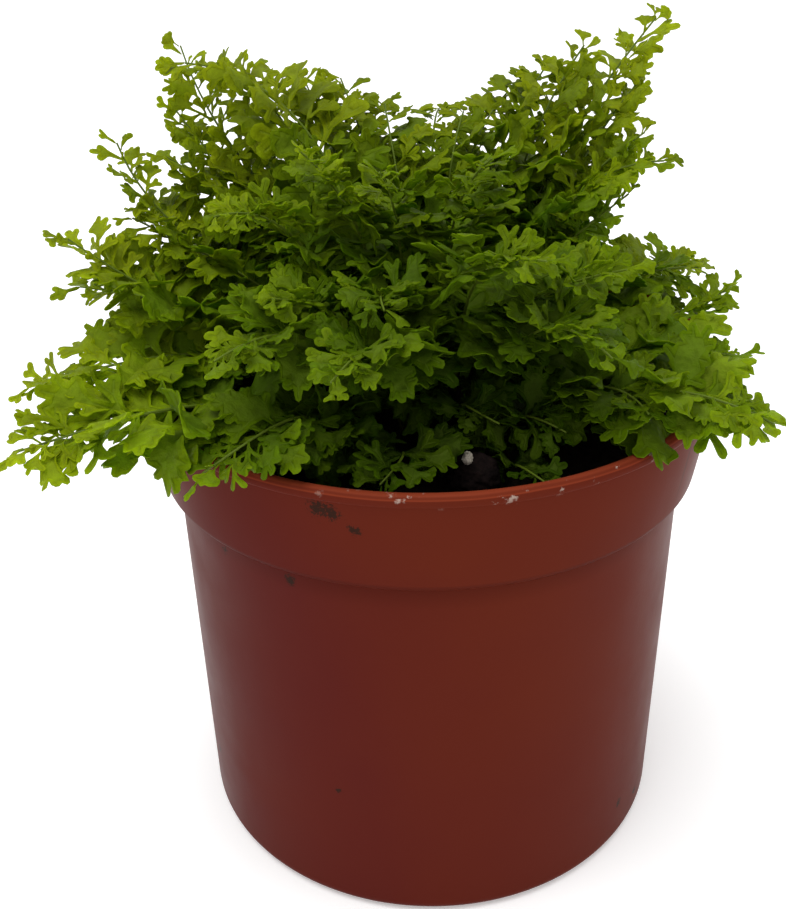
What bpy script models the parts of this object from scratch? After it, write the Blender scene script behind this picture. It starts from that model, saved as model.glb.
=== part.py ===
"""A young lace-leaved Boston fern in a thin plastic nursery pot.

Metres, +Z up. The origin is the middle of the pot's underside, on the surface it stands on.
Azimuths are in degrees, anticlockwise from +X seen from above; the pot's front is towards -Y.
"""

import math
import random

import bmesh
import bpy
from mathutils import Vector
from mathutils.bvhtree import BVHTree
from mathutils.kdtree import KDTree

# Pot
RIM_RADIUS = 0.0600
POT_HEIGHT = 0.1080
COLLAR_HEIGHT = 0.0220
COLLAR_FOOT_RADIUS = 0.0565
BODY_TOP_RADIUS = 0.0534
BASE_RADIUS = 0.0522
WALL = 0.0012
LIP_HEIGHT = 0.0026
LIP_STAND_OUT = 0.0007
BASE_CORNER = 0.0030
FOOT_RING_WIDTH = 0.0070
BASE_RECESS = 0.0015
CENTRE_PAD_RADIUS = 0.0120
POT_SIDES = 36
DRAIN_HOLES = 6
DRAIN_HOLE_RADIUS = 0.0040
DRAIN_CIRCLE_RADIUS = 0.0310

# Compost
SOIL_LEVEL = 0.0965
SOIL_MOUND = 0.0025
SOIL_CRUMB = 0.0009
SOIL_RINGS = 3
SOIL_SIDES = 20
SOIL_SLACK = 0.0002
FOOT_ROUNDING = 0.6
GAP = 0.0003

# The bark chip and the grain of perlite on it, near the front rim
CHIP_AZIMUTH = 281
CHIP_REACH = 0.0430
CHIP_SIZE = (0.0046, 0.0036, 0.0041)
GRAIN_SIZE = (0.0012, 0.0010, 0.0013)
GRAIN_OFFSET = Vector((-0.0011, -0.0024, 0.0080))
LUMP_SWELL = 0.12
LUMP_DENT = 0.08

# Stems
STEM_DEPTH = 0.0080
STEM_HALF_WIDTH = 0.00075
TIP_HALF_WIDTH = 0.00040
HOLE_DEPTH = 0.0090
STEM_HOLE_RADIUS = 0.0014
STEM_HOLE_SIDES = 5

# Fronds
BLADE_THICKNESS = 0.0006
RIB_THICKNESS = 0.0011
FOOT_HANDLE = 0.42
TIP_HANDLE = 0.38
CURVE_STEPS = 60
FRAME_STEP = 0.01
BOW_SCALE = 6.75
LEAFLET_CLEARANCE = 0.0010
RIB_CLEARANCE = 0.0030
RIB_SAMPLES = 50
RIBBON_STEPS = 14
STEM_STEPS = 4
STEM_END = 0.03
LEAST_FOOT = 0.0045
SEED = 41
MOST_SWAY = 0.004
MOST_TWIST = 20
FRONT_TWIST = 22

# How far the fronds of a whorl differ: degrees, metres and a share of the reach
AZIMUTH_RANGE = 5
FOOT_RANGE = 0.0012
REACH_RANGE = 0.10
HEIGHT_RANGE = 0.005
LAUNCH_RANGE = 5
TIP_RANGE = 18

# Leaflets
LEAFLET_SPACING = 0.0064
FEWEST_LEAFLETS = 6
MOST_LEAFLETS = 12
FIRST_LEAFLET = 0.28
LAST_LEAFLET = 0.955
CROWDING = 1.2
LEAFLET_FOOT = 0.0011
FOOT_NARROWING = 0.45
FIRST_SIZE = 0.62
FULL_FROM = 0.40
TAPER_FROM = 0.35
LAST_SIZE = 0.26
TAPER_POWER = 1.8
LENGTH_RANGE = 0.08
FIRST_ANGLE = 68
LAST_ANGLE = 42
PLAIN_ROLL = 10
ROLL_WITH_SLOPE = 0.45
LEAFLET_LIFT = 7
LIFT_RANGE = 16
TURN_RANGE = 22
LEAFLET_DROOP = 0.16
LEAFLET_FOLD = 0.12
SMALL_FROM = 0.58
TIP_LENGTH = 0.8
TIP_WIDTH = 0.4

# Finishes: linear colours and roughness
POT_COLOUR = (0.150, 0.028, 0.016)
POT_ROUGHNESS = 0.38
COMPOST_COLOUR = (0.016, 0.011, 0.008)
BARK_COLOUR = (0.010, 0.006, 0.005)
PERLITE_COLOUR = (0.62, 0.56, 0.47)
EARTH_ROUGHNESS = 0.92
SHADE_GREEN = (0.045, 0.110, 0.008)
LIGHT_GREEN = (0.125, 0.250, 0.012)
LOW_TIP = 0.105
HIGH_TIP = 0.165
LEAF_ROUGHNESS = 0.5

# How far a leaflet that would cross another is bent, in degrees, and then how far it is shortened.
BENDS = (0, 10, -10, 20, -20, 32, -32, 46, -46, 60)
SHORTER = (1.0, 0.85, 0.7, 0.55)

# What is tried in turn to take a midrib clear of another: a sideways bow and a move of the foot
# outwards, in metres, and a turn in degrees.
RIB_BENDS = (
    (0.0, 0.0, 0.0), (0.003, 0.0, 0.0), (-0.003, 0.0, 0.0),
    (0.0, 0.002, 0.0), (0.0, -0.002, 0.0), (0.003, 0.002, 0.0), (-0.003, 0.002, 0.0),
    (0.003, -0.002, 0.0), (-0.003, -0.002, 0.0), (0.0, 0.004, 0.0), (0.0, -0.004, 0.0),
    (0.004, 0.004, 0.0), (-0.004, 0.004, 0.0), (0.004, -0.004, 0.0), (-0.004, -0.004, 0.0),
    (0.0, 0.0, 4.0), (0.0, 0.0, -4.0), (0.005, 0.0, 3.0), (-0.005, 0.0, -3.0),
    (0.0, 0.003, 6.0), (0.0, 0.003, -6.0), (0.0, 0.0, 9.0), (0.0, 0.0, -9.0),
)

# The fronds that make the outline. Each: name, azimuth, foot radius, reach, tip height, launch
# slope, tip slope, longest leaflet, twist. Lengths are in metres. Slopes are in degrees above
# level. The twist, in degrees, turns the blade about its midrib, so that it faces the light.
LEADERS = (
    ("right_tall", 27, 0.0120, 0.0520, 0.1690, 76, 46, 0.0160, -35),
    ("right_second", 47, 0.0080, 0.0365, 0.1590, 80, 46, 0.0165, -25),
    ("right_third", 36, 0.0105, 0.0400, 0.1640, 78, 48, 0.0165, -30),
    ("right_flank", 18, 0.0150, 0.0445, 0.1590, 74, 50, 0.0145, -35),
    ("right_side", 7, 0.0130, 0.0430, 0.1510, 76, 36, 0.0145, -35),
    ("right_arm", 357, 0.0160, 0.0455, 0.1475, 82, 4, 0.0140, -35),
    ("right_wisp", 350, 0.0110, 0.0390, 0.1425, 74, 40, 0.0120, -30),
    ("right_crest", 12, 0.0200, 0.0590, 0.1205, 60, -4, 0.0165, -25),
    ("right_back", 31, 0.0250, 0.0710, 0.1120, 50, -20, 0.0150, -20),
    ("right_shoulder", 2, 0.0230, 0.0620, 0.1200, 54, 40, 0.0155, -25),
    ("right_elbow", 341, 0.0230, 0.0630, 0.1150, 56, 2, 0.0175, -20),
    ("right_sweep", 322, 0.0260, 0.0755, 0.1140, 42, -15, 0.0190, -20),
    ("right_drop", 311, 0.0250, 0.0585, 0.1150, 56, -10, 0.0155, -10),
    ("front_small", 294, 0.0350, 0.0520, 0.1030, 34, -20, 0.0082, 0),
    ("front_left", 226, 0.0300, 0.0470, 0.1080, 58, -24, 0.0135, 0),
    ("front_middle", 246, 0.0300, 0.0505, 0.1080, 56, -28, 0.0140, 0),
    ("front_right", 261, 0.0320, 0.0530, 0.1060, 54, -34, 0.0135, 0),
    ("front_inner", 289, 0.0190, 0.0400, 0.1100, 64, -18, 0.0120, 0),
    ("right_inner", 303, 0.0260, 0.0460, 0.1085, 58, -26, 0.0130, 0),
    ("left_tall", 151, 0.0110, 0.0575, 0.1645, 74, 60, 0.0140, 40),
    ("left_second", 157, 0.0070, 0.0525, 0.1625, 80, 2, 0.0165, 35),
    ("left_inner", 140, 0.0100, 0.0500, 0.1590, 78, 30, 0.0165, 30),
    ("left_middle", 160, 0.0130, 0.0540, 0.1535, 72, 46, 0.0150, 35),
    ("left_upper", 173, 0.0190, 0.0615, 0.1500, 68, 70, 0.0145, 40),
    ("left_fill", 166, 0.0165, 0.0545, 0.1455, 72, 34, 0.0155, 35),
    ("left_crest", 180, 0.0160, 0.0580, 0.1370, 66, 30, 0.0150, 35),
    ("left_arm", 190, 0.0190, 0.0690, 0.1370, 50, 40, 0.0195, 35),
    ("left_shoulder", 185, 0.0240, 0.0690, 0.1250, 46, 8, 0.0175, 30),
    ("left_low", 176, 0.0265, 0.0570, 0.1110, 50, -12, 0.0150, 20),
    ("left_spread", 202, 0.0230, 0.0800, 0.1145, 54, -8, 0.0175, 25),
    ("left_sweep", 216, 0.0260, 0.0870, 0.1125, 36, -11, 0.0200, 20),
    ("left_hanging", 234, 0.0270, 0.0655, 0.1090, 54, -38, 0.0160, 10),
    ("left_back", 127, 0.0120, 0.0430, 0.1565, 78, 32, 0.0150, 20),
    ("back_left", 119, 0.0080, 0.0365, 0.1565, 80, 34, 0.0165, 15),
    ("back_peak", 108, 0.0050, 0.0270, 0.1525, 82, 34, 0.0150, 10),
    ("back_far", 86, 0.0130, 0.0480, 0.1460, 78, -10, 0.0140, 0),
    ("back_dip", 70, 0.0060, 0.0235, 0.1515, 82, 40, 0.0130, 0),
    ("back_right", 58, 0.0100, 0.0330, 0.1540, 80, 34, 0.0130, -15),
)

# The rest, whorl by whorl: name, foot radius, reach, tip height, launch slope, tip slope, longest
# leaflet, azimuths.
WHORLS = (
    ("skirt", 0.0250, 0.0710, 0.1125, 54, -30, 0.0155, (94, 126, 158)),
    ("low", 0.0190, 0.0620, 0.1240, 66, -14, 0.0165, (60, 90, 132, 230, 256, 300)),
    ("middle", 0.0145, 0.0470, 0.1400, 74, 6, 0.0160, (208, 236, 262, 290, 314, 20)),
    ("upright", 0.0095, 0.0270, 0.1520, 82, 30, 0.0150, (222, 256, 302)),
)

# A leaflet's outline past its foot: three blunt lobes with a notch on each side of the middle one.
# Pairs of (along, across) as shares of its length. The small leaflets near a tip are a plain wedge
# with one notch. The triangles count the foot's two corners, on the midrib, as first and last.
BROAD_OUTLINE = (
    (0.30, -0.34), (0.60, -0.48), (0.66, -0.20), (1.00, -0.18), (0.96, 0.16), (0.62, 0.20), (0.50, 0.46),
)
BROAD_TRIANGLES = ((0, 1, 3), (1, 2, 3), (0, 3, 6), (3, 4, 5), (3, 5, 6), (0, 6, 8), (6, 7, 8))
SMALL_OUTLINE = ((0.45, -0.34), (0.98, -0.30), (0.78, 0.00), (1.00, 0.26), (0.48, 0.36))
SMALL_TRIANGLES = ((0, 1, 3), (1, 2, 3), (0, 3, 6), (3, 4, 5), (3, 5, 6))


def direction(azimuth):
    """The unit vector that points out from the pot's axis at this azimuth."""
    angle = math.radians(azimuth)
    return Vector((math.cos(angle), math.sin(angle), 0.0))


def material(name, colour, roughness):
    """A Principled material of one plain colour."""
    made = bpy.data.materials.new(name)
    made.use_nodes = True
    shader = made.node_tree.nodes["Principled BSDF"]
    shader.inputs["Base Color"].default_value = (*colour, 1.0)
    shader.inputs["Roughness"].default_value = roughness
    shader.inputs["Metallic"].default_value = 0.0
    return made


def add_object(name, mesh, finish):
    """Puts a mesh in the scene as one named piece."""
    made = bpy.data.objects.new(name, mesh)
    bpy.context.scene.collection.objects.link(made)
    if finish is not None:
        mesh.materials.append(finish)
    return made


def mesh_from(name, bm):
    """Turns a bmesh into a mesh and frees it."""
    mesh = bpy.data.meshes.new(name)
    bm.to_mesh(mesh)
    bm.free()
    return mesh


def hide_cutter(cutter):
    """A cutter only shapes other pieces, so it is never part of the model."""
    cutter.hide_render = True
    cutter.display_type = "WIRE"


def cut(target, cutter):
    """Takes a cutter's volume out of a piece."""
    hide_cutter(cutter)
    boolean = target.modifiers.new("cut_" + cutter.name, "BOOLEAN")
    boolean.operation = "DIFFERENCE"
    boolean.solver = "EXACT"
    boolean.use_self = True
    boolean.object = cutter


def skin_of(piece):
    """A piece's points, and its faces cut into triangles."""
    points = [vert.co.copy() for vert in piece.data.vertices]
    triangles = []
    for face in piece.data.polygons:
        first, *others = face.vertices
        triangles += [(first, *pair) for pair in zip(others[:-1], others[1:])]
    return points, triangles


def arc(centre, radius, start, end, steps):
    """Points on a circular arc in the (radius, height) plane; angles in degrees."""
    points = []
    for step in range(steps + 1):
        angle = math.radians(start + (end - start) * step / steps)
        points.append((centre[0] + radius * math.cos(angle), centre[1] + radius * math.sin(angle)))
    return points


def wall_radius(z):
    """The outer radius of the pot's body under its collar."""
    step_height = POT_HEIGHT - COLLAR_HEIGHT
    return BASE_RADIUS + (BODY_TOP_RADIUS - BASE_RADIUS) * z / step_height


def pot_profile():
    """The pot's section, from the middle of the inner floor over the lip to the underside."""
    step = POT_HEIGHT - COLLAR_HEIGHT
    floor = BASE_RECESS + WALL
    under_lip = POT_HEIGHT - LIP_HEIGHT
    collar_top = RIM_RADIUS - LIP_STAND_OUT
    lip_middle = (RIM_RADIUS - WALL, POT_HEIGHT - WALL)
    inner_foot = (wall_radius(0.0) - WALL - BASE_CORNER, floor + BASE_CORNER)
    ring_inner = BASE_RADIUS - BASE_CORNER - FOOT_RING_WIDTH
    return [
        (0.0, floor),
        *arc(inner_foot, BASE_CORNER, -90, 0, 2),
        (BODY_TOP_RADIUS - WALL, step - WALL),
        (COLLAR_FOOT_RADIUS - WALL, step + WALL),
        (collar_top - WALL - LIP_STAND_OUT, under_lip),
        *arc(lip_middle, WALL, 150, 0, 3),
        (RIM_RADIUS, under_lip + LIP_STAND_OUT),
        (collar_top, under_lip),
        (COLLAR_FOOT_RADIUS, step + WALL),
        (COLLAR_FOOT_RADIUS - WALL / 2, step),
        (BODY_TOP_RADIUS, step - WALL / 2),
        *arc((BASE_RADIUS - BASE_CORNER, BASE_CORNER), BASE_CORNER, 0, -90, 2),
        (ring_inner, 0.0),
        (ring_inner - BASE_RECESS, BASE_RECESS),
        (CENTRE_PAD_RADIUS + BASE_RECESS, BASE_RECESS),
        (CENTRE_PAD_RADIUS, 0.0),
        (0.0, 0.0),
    ]


def turned(name, profile, sides, finish):
    """Spins a section about the Z axis into one closed piece."""
    bm = bmesh.new()
    verts = [bm.verts.new((radius, 0.0, z)) for radius, z in profile]
    edges = [bm.edges.new(pair) for pair in zip(verts[:-1], verts[1:])]
    bmesh.ops.spin(
        bm,
        geom=verts + edges,
        cent=(0.0, 0.0, 0.0),
        axis=(0.0, 0.0, 1.0),
        angle=2 * math.pi,
        steps=sides,
        use_merge=True,
    )
    bmesh.ops.remove_doubles(bm, verts=bm.verts, dist=1e-6)
    bmesh.ops.recalc_face_normals(bm, faces=bm.faces)
    made = add_object(name, mesh_from(name, bm), finish)
    made.data.shade_smooth()
    made.data.set_sharp_from_angle(angle=math.radians(40))
    return made


def cylinders(name, places, radius, sides):
    """One mesh of separate upright prisms; a place is (foot, head), both points."""
    bm = bmesh.new()
    for foot, head in places:
        axis = head - foot
        made = bmesh.ops.create_cone(
            bm, cap_ends=True, segments=sides, radius1=radius, radius2=radius, depth=axis.length
        )
        turn = axis.to_track_quat("Z", "Y").to_matrix().to_4x4()
        bmesh.ops.transform(bm, matrix=turn, verts=made["verts"])
        bmesh.ops.translate(bm, vec=(foot + head) / 2, verts=made["verts"])
    return add_object(name, mesh_from(name, bm), None)


def build_pot(finish):
    """The thin moulded pot, with its collar, lip, foot ring and drain holes."""
    pot = turned("pot", pot_profile(), POT_SIDES, finish)
    depth = BASE_RECESS + WALL
    places = []
    for hole in range(DRAIN_HOLES):
        centre = direction(360 * (hole + 0.5) / DRAIN_HOLES) * DRAIN_CIRCLE_RADIUS
        places.append((centre - Vector((0, 0, depth)), centre + Vector((0, 0, 2 * depth))))
    cut(pot, cylinders("drain_hole_cutter", places, DRAIN_HOLE_RADIUS, 10))
    return pot


def soil_height(x, y):
    """The compost's surface: a low mound with small crumbs, from a formula."""
    radius = math.hypot(x, y)
    mound = SOIL_MOUND * math.cos(min(1.0, radius / BODY_TOP_RADIUS) * math.pi / 2)
    crumbs = math.sin(x * 610 + 1.3) * math.sin(y * 540 + 0.4) + 0.6 * math.sin(x * 1130 - y * 870)
    return SOIL_LEVEL + mound + SOIL_CRUMB * crumbs


def build_soil(fronds, finish):
    """The compost that fills the pot, with a plain hole for each stem."""
    inner_floor = BASE_RECESS + WALL + GAP
    foot = BASE_RADIUS - WALL - GAP - BASE_CORNER
    shoulder = POT_HEIGHT - COLLAR_HEIGHT - WALL - GAP
    throat = BODY_TOP_RADIUS - WALL - GAP - SOIL_SLACK
    top_radius = COLLAR_FOOT_RADIUS - WALL - 2 * GAP
    bm = bmesh.new()

    def ring(radius, z):
        around = []
        for side in range(SOIL_SIDES):
            out = direction(360 * side / SOIL_SIDES) * radius
            height = soil_height(out.x, out.y) if z is None else z
            around.append(bm.verts.new((out.x, out.y, height)))
        return around

    rings = [
        ring(foot - BASE_CORNER, inner_floor),
        ring(foot + BASE_CORNER * FOOT_ROUNDING, inner_floor + BASE_CORNER * FOOT_ROUNDING),
        ring(throat, shoulder),
        ring(top_radius, shoulder + 2 * WALL + 3 * GAP),
    ]
    rings += [ring(top_radius * (SOIL_RINGS - k) / SOIL_RINGS, None) for k in range(SOIL_RINGS)]
    bm.faces.new(reversed(rings[0]))
    for lower, upper in zip(rings[:-1], rings[1:]):
        for side in range(SOIL_SIDES):
            after = (side + 1) % SOIL_SIDES
            bm.faces.new((lower[side], lower[after], upper[after], upper[side]))
    crown = bm.verts.new((0.0, 0.0, soil_height(0.0, 0.0)))
    for side in range(SOIL_SIDES):
        bm.faces.new((rings[-1][side], rings[-1][(side + 1) % SOIL_SIDES], crown))
    bmesh.ops.recalc_face_normals(bm, faces=bm.faces)
    soil = add_object("compost", mesh_from("compost", bm), finish)
    places = []
    for frond in fronds:
        mouth = frond.knots[0]
        places.append((mouth - frond.launch * HOLE_DEPTH, mouth + frond.launch * HOLE_DEPTH))
    cut(soil, cylinders("stem_hole_cutter", places, STEM_HOLE_RADIUS, STEM_HOLE_SIDES))
    return soil


def build_lump(name, centre, size, detail, seed, finish):
    """A small rough lump, such as a bark chip or a perlite grain."""
    bm = bmesh.new()
    bmesh.ops.create_icosphere(bm, subdivisions=detail, radius=1.0)
    rng = random.Random(seed)
    phase = [rng.uniform(0, math.tau) for _ in range(3)]
    for vert in bm.verts:
        x, y, z = vert.co
        swell = 1 + LUMP_SWELL * math.sin(4 * x + phase[0]) * math.sin(5 * y + phase[1])
        swell += LUMP_DENT * math.sin(7 * z + phase[2])
        place = Vector((x * size[0], y * size[1], z * size[2])) * swell
        vert.co = place + centre
    return add_object(name, mesh_from(name, bm), finish)


def settle(piece, holder):
    """Lowers a lump until it lies on what holds it, with the gap that touching pieces keep."""
    top = BVHTree.FromPolygons(*skin_of(holder))
    under = BVHTree.FromPolygons(*skin_of(piece))
    down = Vector((0.0, 0.0, -1.0))
    drops = [top.ray_cast(vert.co, down)[3] for vert in piece.data.vertices]
    drops += [under.ray_cast(vert.co, -down)[3] for vert in holder.data.vertices]
    fall = min(drop for drop in drops if drop is not None) - GAP
    for vert in piece.data.vertices:
        vert.co.z -= fall


class Frond:
    """One frond's midrib: a cubic curve in an upright plane, bowed a little to one side."""

    def __init__(
        self, name, azimuth, foot_radius, reach, tip_height, launch, tip_slope, leaflet, twist, sway
    ):
        self.name = name
        self.leaflet = leaflet
        self.twist = twist
        self.sway = sway
        out = direction(azimuth)
        rise = Vector((0, 0, 1))
        foot = out * foot_radius
        ground = Vector((foot.x, foot.y, soil_height(foot.x, foot.y)))
        tip = out * reach + rise * tip_height
        span = (tip - ground).length
        self.aside = rise.cross(out)
        self.launch = out * math.cos(math.radians(launch)) + rise * math.sin(math.radians(launch))
        end = out * math.cos(math.radians(tip_slope)) + rise * math.sin(math.radians(tip_slope))
        near_foot = ground + self.launch * span * FOOT_HANDLE
        near_tip = tip - end * span * TIP_HANDLE
        self.knots = (ground, near_foot, near_tip, tip)
        self.sunk = STEM_DEPTH
        self.table = [0.0]
        before = self.curve(0.0)
        for step in range(1, CURVE_STEPS + 1):
            here = self.curve(step / CURVE_STEPS)
            self.table.append(self.table[-1] + (here - before).length)
            before = here
        self.length = self.table[-1] + self.sunk

    def curve(self, u):
        """The midrib above ground, u from 0 at the soil to 1 at the tip."""
        a, b, c, d = self.knots
        v = 1 - u
        plain = a * v**3 + b * 3 * u * v * v + c * 3 * u * u * v + d * u**3
        return plain + self.aside * self.sway * BOW_SCALE * u * u * v

    def at_length(self, distance):
        """The point this far along the midrib from its buried foot."""
        above = distance - self.sunk
        if above <= 0:
            return self.knots[0] + self.launch * above
        index = 0
        while index < CURVE_STEPS - 1 and self.table[index + 1] < above:
            index += 1
        low, high = self.table[index], self.table[index + 1]
        return self.curve((index + min(1.0, (above - low) / (high - low))) / CURVE_STEPS)

    def point(self, share):
        return self.at_length(share * self.length)

    def frame(self, share):
        """(point, along, aside, up) at this share of the length."""
        ahead = self.point(min(1.0, share + FRAME_STEP))
        behind = self.point(max(0.0, share - FRAME_STEP))
        along = (ahead - behind).normalized()
        aside = Vector((0, 0, 1)).cross(along).normalized()
        return self.point(share), along, aside, along.cross(aside)

    def half_width(self, share):
        return STEM_HALF_WIDTH + (TIP_HALF_WIDTH - STEM_HALF_WIDTH) * share


def plan_fronds():
    """Every frond of the plant, with small seeded differences, its midrib clear of the others."""
    plans = []
    for name, *shape in LEADERS:
        plans.append(("frond_" + name, *shape))
    for name, foot, reach, height, launch, tip_slope, leaflet, azimuths in WHORLS:
        for number, azimuth in enumerate(azimuths, 1):
            whole = f"frond_{name}_{number}"
            rng = random.Random(f"{SEED} plan {whole}")
            plans.append(
                (
                    whole,
                    azimuth + rng.uniform(-AZIMUTH_RANGE, AZIMUTH_RANGE),
                    foot + rng.uniform(-FOOT_RANGE, FOOT_RANGE),
                    reach * (1 + rng.uniform(-REACH_RANGE, REACH_RANGE)),
                    height + rng.uniform(-HEIGHT_RANGE, HEIGHT_RANGE),
                    launch + rng.uniform(-LAUNCH_RANGE, LAUNCH_RANGE),
                    tip_slope + rng.uniform(-TIP_RANGE, TIP_RANGE),
                    leaflet,
                    rng.uniform(-MOST_TWIST, MOST_TWIST)
                    - FRONT_TWIST * math.cos(math.radians(azimuth)),
                )
            )
    fronds = []
    for name, azimuth, foot, *shape in plans:
        sway = random.Random(f"{SEED} sway {name}").uniform(-MOST_SWAY, MOST_SWAY)

        def make(more, outward, shift):
            return Frond(name, azimuth + shift, max(LEAST_FOOT, foot + outward), *shape, sway + more)

        fronds.append(bend_clear(make, fronds))
    return fronds


def leaflet_places(frond):
    """(share of the length, share of the blade) of each leaflet; the last stand closer together."""
    blade = frond.length * (LAST_LEAFLET - FIRST_LEAFLET)
    count = max(FEWEST_LEAFLETS, min(MOST_LEAFLETS, round(blade / LEAFLET_SPACING)))
    for index in range(count):
        u = index / (count - 1)
        yield FIRST_LEAFLET + (LAST_LEAFLET - FIRST_LEAFLET) * (1 - (1 - u) ** CROWDING), u


def leaflet_length(longest, u):
    """Short at the foot of the blade, longest a third of the way up, small at the tip."""
    swell = FIRST_SIZE + (1 - FIRST_SIZE) * math.sin(min(1.0, u / FULL_FROM) * math.pi / 2)
    past = max(0.0, (u - TAPER_FROM) / (1 - TAPER_FROM))
    taper = 1 - (1 - LAST_SIZE) * past**TAPER_POWER
    return longest * swell * taper


def leaflet_foot(u):
    """Half the width of a leaflet's foot along the midrib."""
    return LEAFLET_FOOT * (1 - FOOT_NARROWING * u)


def leaflet_form(u):
    """(outline, triangles) of the leaflet at this share of the blade."""
    if u > SMALL_FROM:
        return SMALL_OUTLINE, SMALL_TRIANGLES
    return BROAD_OUTLINE, BROAD_TRIANGLES


def leaflet_axes(frond, share, side, u, lift, turn):
    """(origin, along, across, up) of a leaflet that leaves the midrib on this side."""
    origin, along, aside, up = frond.frame(share)
    forward = math.radians(FIRST_ANGLE + (LAST_ANGLE - FIRST_ANGLE) * u)
    lean = along * math.cos(forward) + aside * side * math.sin(forward)
    across = along * math.sin(forward) - aside * side * math.cos(forward)
    slope = math.degrees(math.asin(max(-1.0, min(1.0, along.z))))
    roll = PLAIN_ROLL + ROLL_WITH_SLOPE * max(0.0, slope) + turn - side * frond.twist
    roll = math.radians(roll)
    flat = across * math.cos(roll) - up * math.sin(roll)
    normal = up * math.cos(roll) + across * math.sin(roll)
    tilt = math.radians(lift)
    axis = lean * math.cos(tilt) + normal * math.sin(tilt)
    return origin, axis, flat, normal * math.cos(tilt) - lean * math.sin(tilt)


def leaflet_points(frond, share, side, u, length, lift, turn):
    """The corners of a leaflet, from the midrib round its lobes and back."""
    _, along, aside, _ = frond.frame(share)
    origin, axis, flat, normal = leaflet_axes(frond, share, side, u, lift, turn)
    edge = aside * side * frond.half_width(share)
    foot = leaflet_foot(u)
    points = [origin + edge - along * foot]
    for far, wide in leaflet_form(u)[0]:
        droop = -LEAFLET_DROOP * far * far - LEAFLET_FOLD * abs(wide)
        points.append(origin + edge + (axis * far + flat * wide + normal * droop) * length)
    points.append(origin + edge + along * foot)
    return points


def sample_points(points, triangles):
    """Points spread over a few triangles, for measuring clearance."""
    samples = []
    for triangle in triangles:
        a, b, c = (points[i] for i in triangle)
        samples += [(a + b + c) / 3]
        for start, end in ((a, b), (b, c), (c, a)):
            samples += [start.lerp(end, share) for share in (0.0, 0.25, 0.5, 0.75)]
    return samples


class Surroundings:
    """Thin sheets that a new one has to stay clear of."""

    def __init__(self):
        self.points = []
        self.triangles = []
        self.tree = None
        self.samples = None

    def add(self, points, triangles):
        start = len(self.points)
        self.points += points
        self.triangles += [tuple(start + i for i in triangle) for triangle in triangles]

    def ready(self):
        self.tree = BVHTree.FromPolygons(self.points, self.triangles)
        samples = sample_points(self.points, self.triangles)
        self.samples = KDTree(len(samples))
        for index, sample in enumerate(samples):
            self.samples.insert(sample, index)
        self.samples.balance()
        return self

    def clear_of(self, points, triangles, distance):
        """Whether a sheet crosses none of these and keeps this distance to them."""
        new = BVHTree.FromPolygons(points, triangles)
        if self.tree.overlap(new):
            return False
        for sample in sample_points(points, triangles):
            if self.tree.find_nearest(sample, distance)[0] is not None:
                return False
        middle = sum(points, Vector()) / len(points)
        reach = max((point - middle).length for point in points) + distance
        for sample, _, _ in self.samples.find_range(middle, reach):
            if new.find_nearest(sample, distance)[0] is not None:
                return False
        return True


def place_leaflet(frond, share, side, u, rng, around, own):
    """A leaflet's corners, bent clear of what is there; None if there is no room for it."""
    length = leaflet_length(frond.leaflet, u) * (1 + rng.uniform(-LENGTH_RANGE, LENGTH_RANGE))
    lift = LEAFLET_LIFT + rng.uniform(-LIFT_RANGE, LIFT_RANGE)
    turn = rng.uniform(-TURN_RANGE, TURN_RANGE)
    triangles = leaflet_form(u)[1]
    for scale in SHORTER:
        for bend in BENDS:
            points = leaflet_points(frond, share, side, u, length * scale, lift + bend, turn)
            if not own.clear_of(*free_part(points, triangles), LEAFLET_CLEARANCE):
                continue
            if around.clear_of(points, triangles, LEAFLET_CLEARANCE):
                return points
    return None


def free_part(points, triangles):
    """The part of a leaflet that stands free of the midrib."""
    last = len(points) - 1
    kept = [[i - 1 for i in triangle] for triangle in triangles if not {0, last} & set(triangle)]
    return points[1:-1], kept


def rib_ribbon(frond):
    """The stem and midrib as a plain ribbon, for what has to stay clear of it."""
    points = []
    triangles = []
    for step in range(RIBBON_STEPS + 1):
        share = step / RIBBON_STEPS
        origin, _, aside, _ = frond.frame(share)
        half = aside * frond.half_width(share)
        points += [origin + half, origin - half]
        if step:
            last = len(points) - 1
            triangles += [(last - 3, last - 2, last - 1), (last - 2, last, last - 1)]
    return points, triangles


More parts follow.
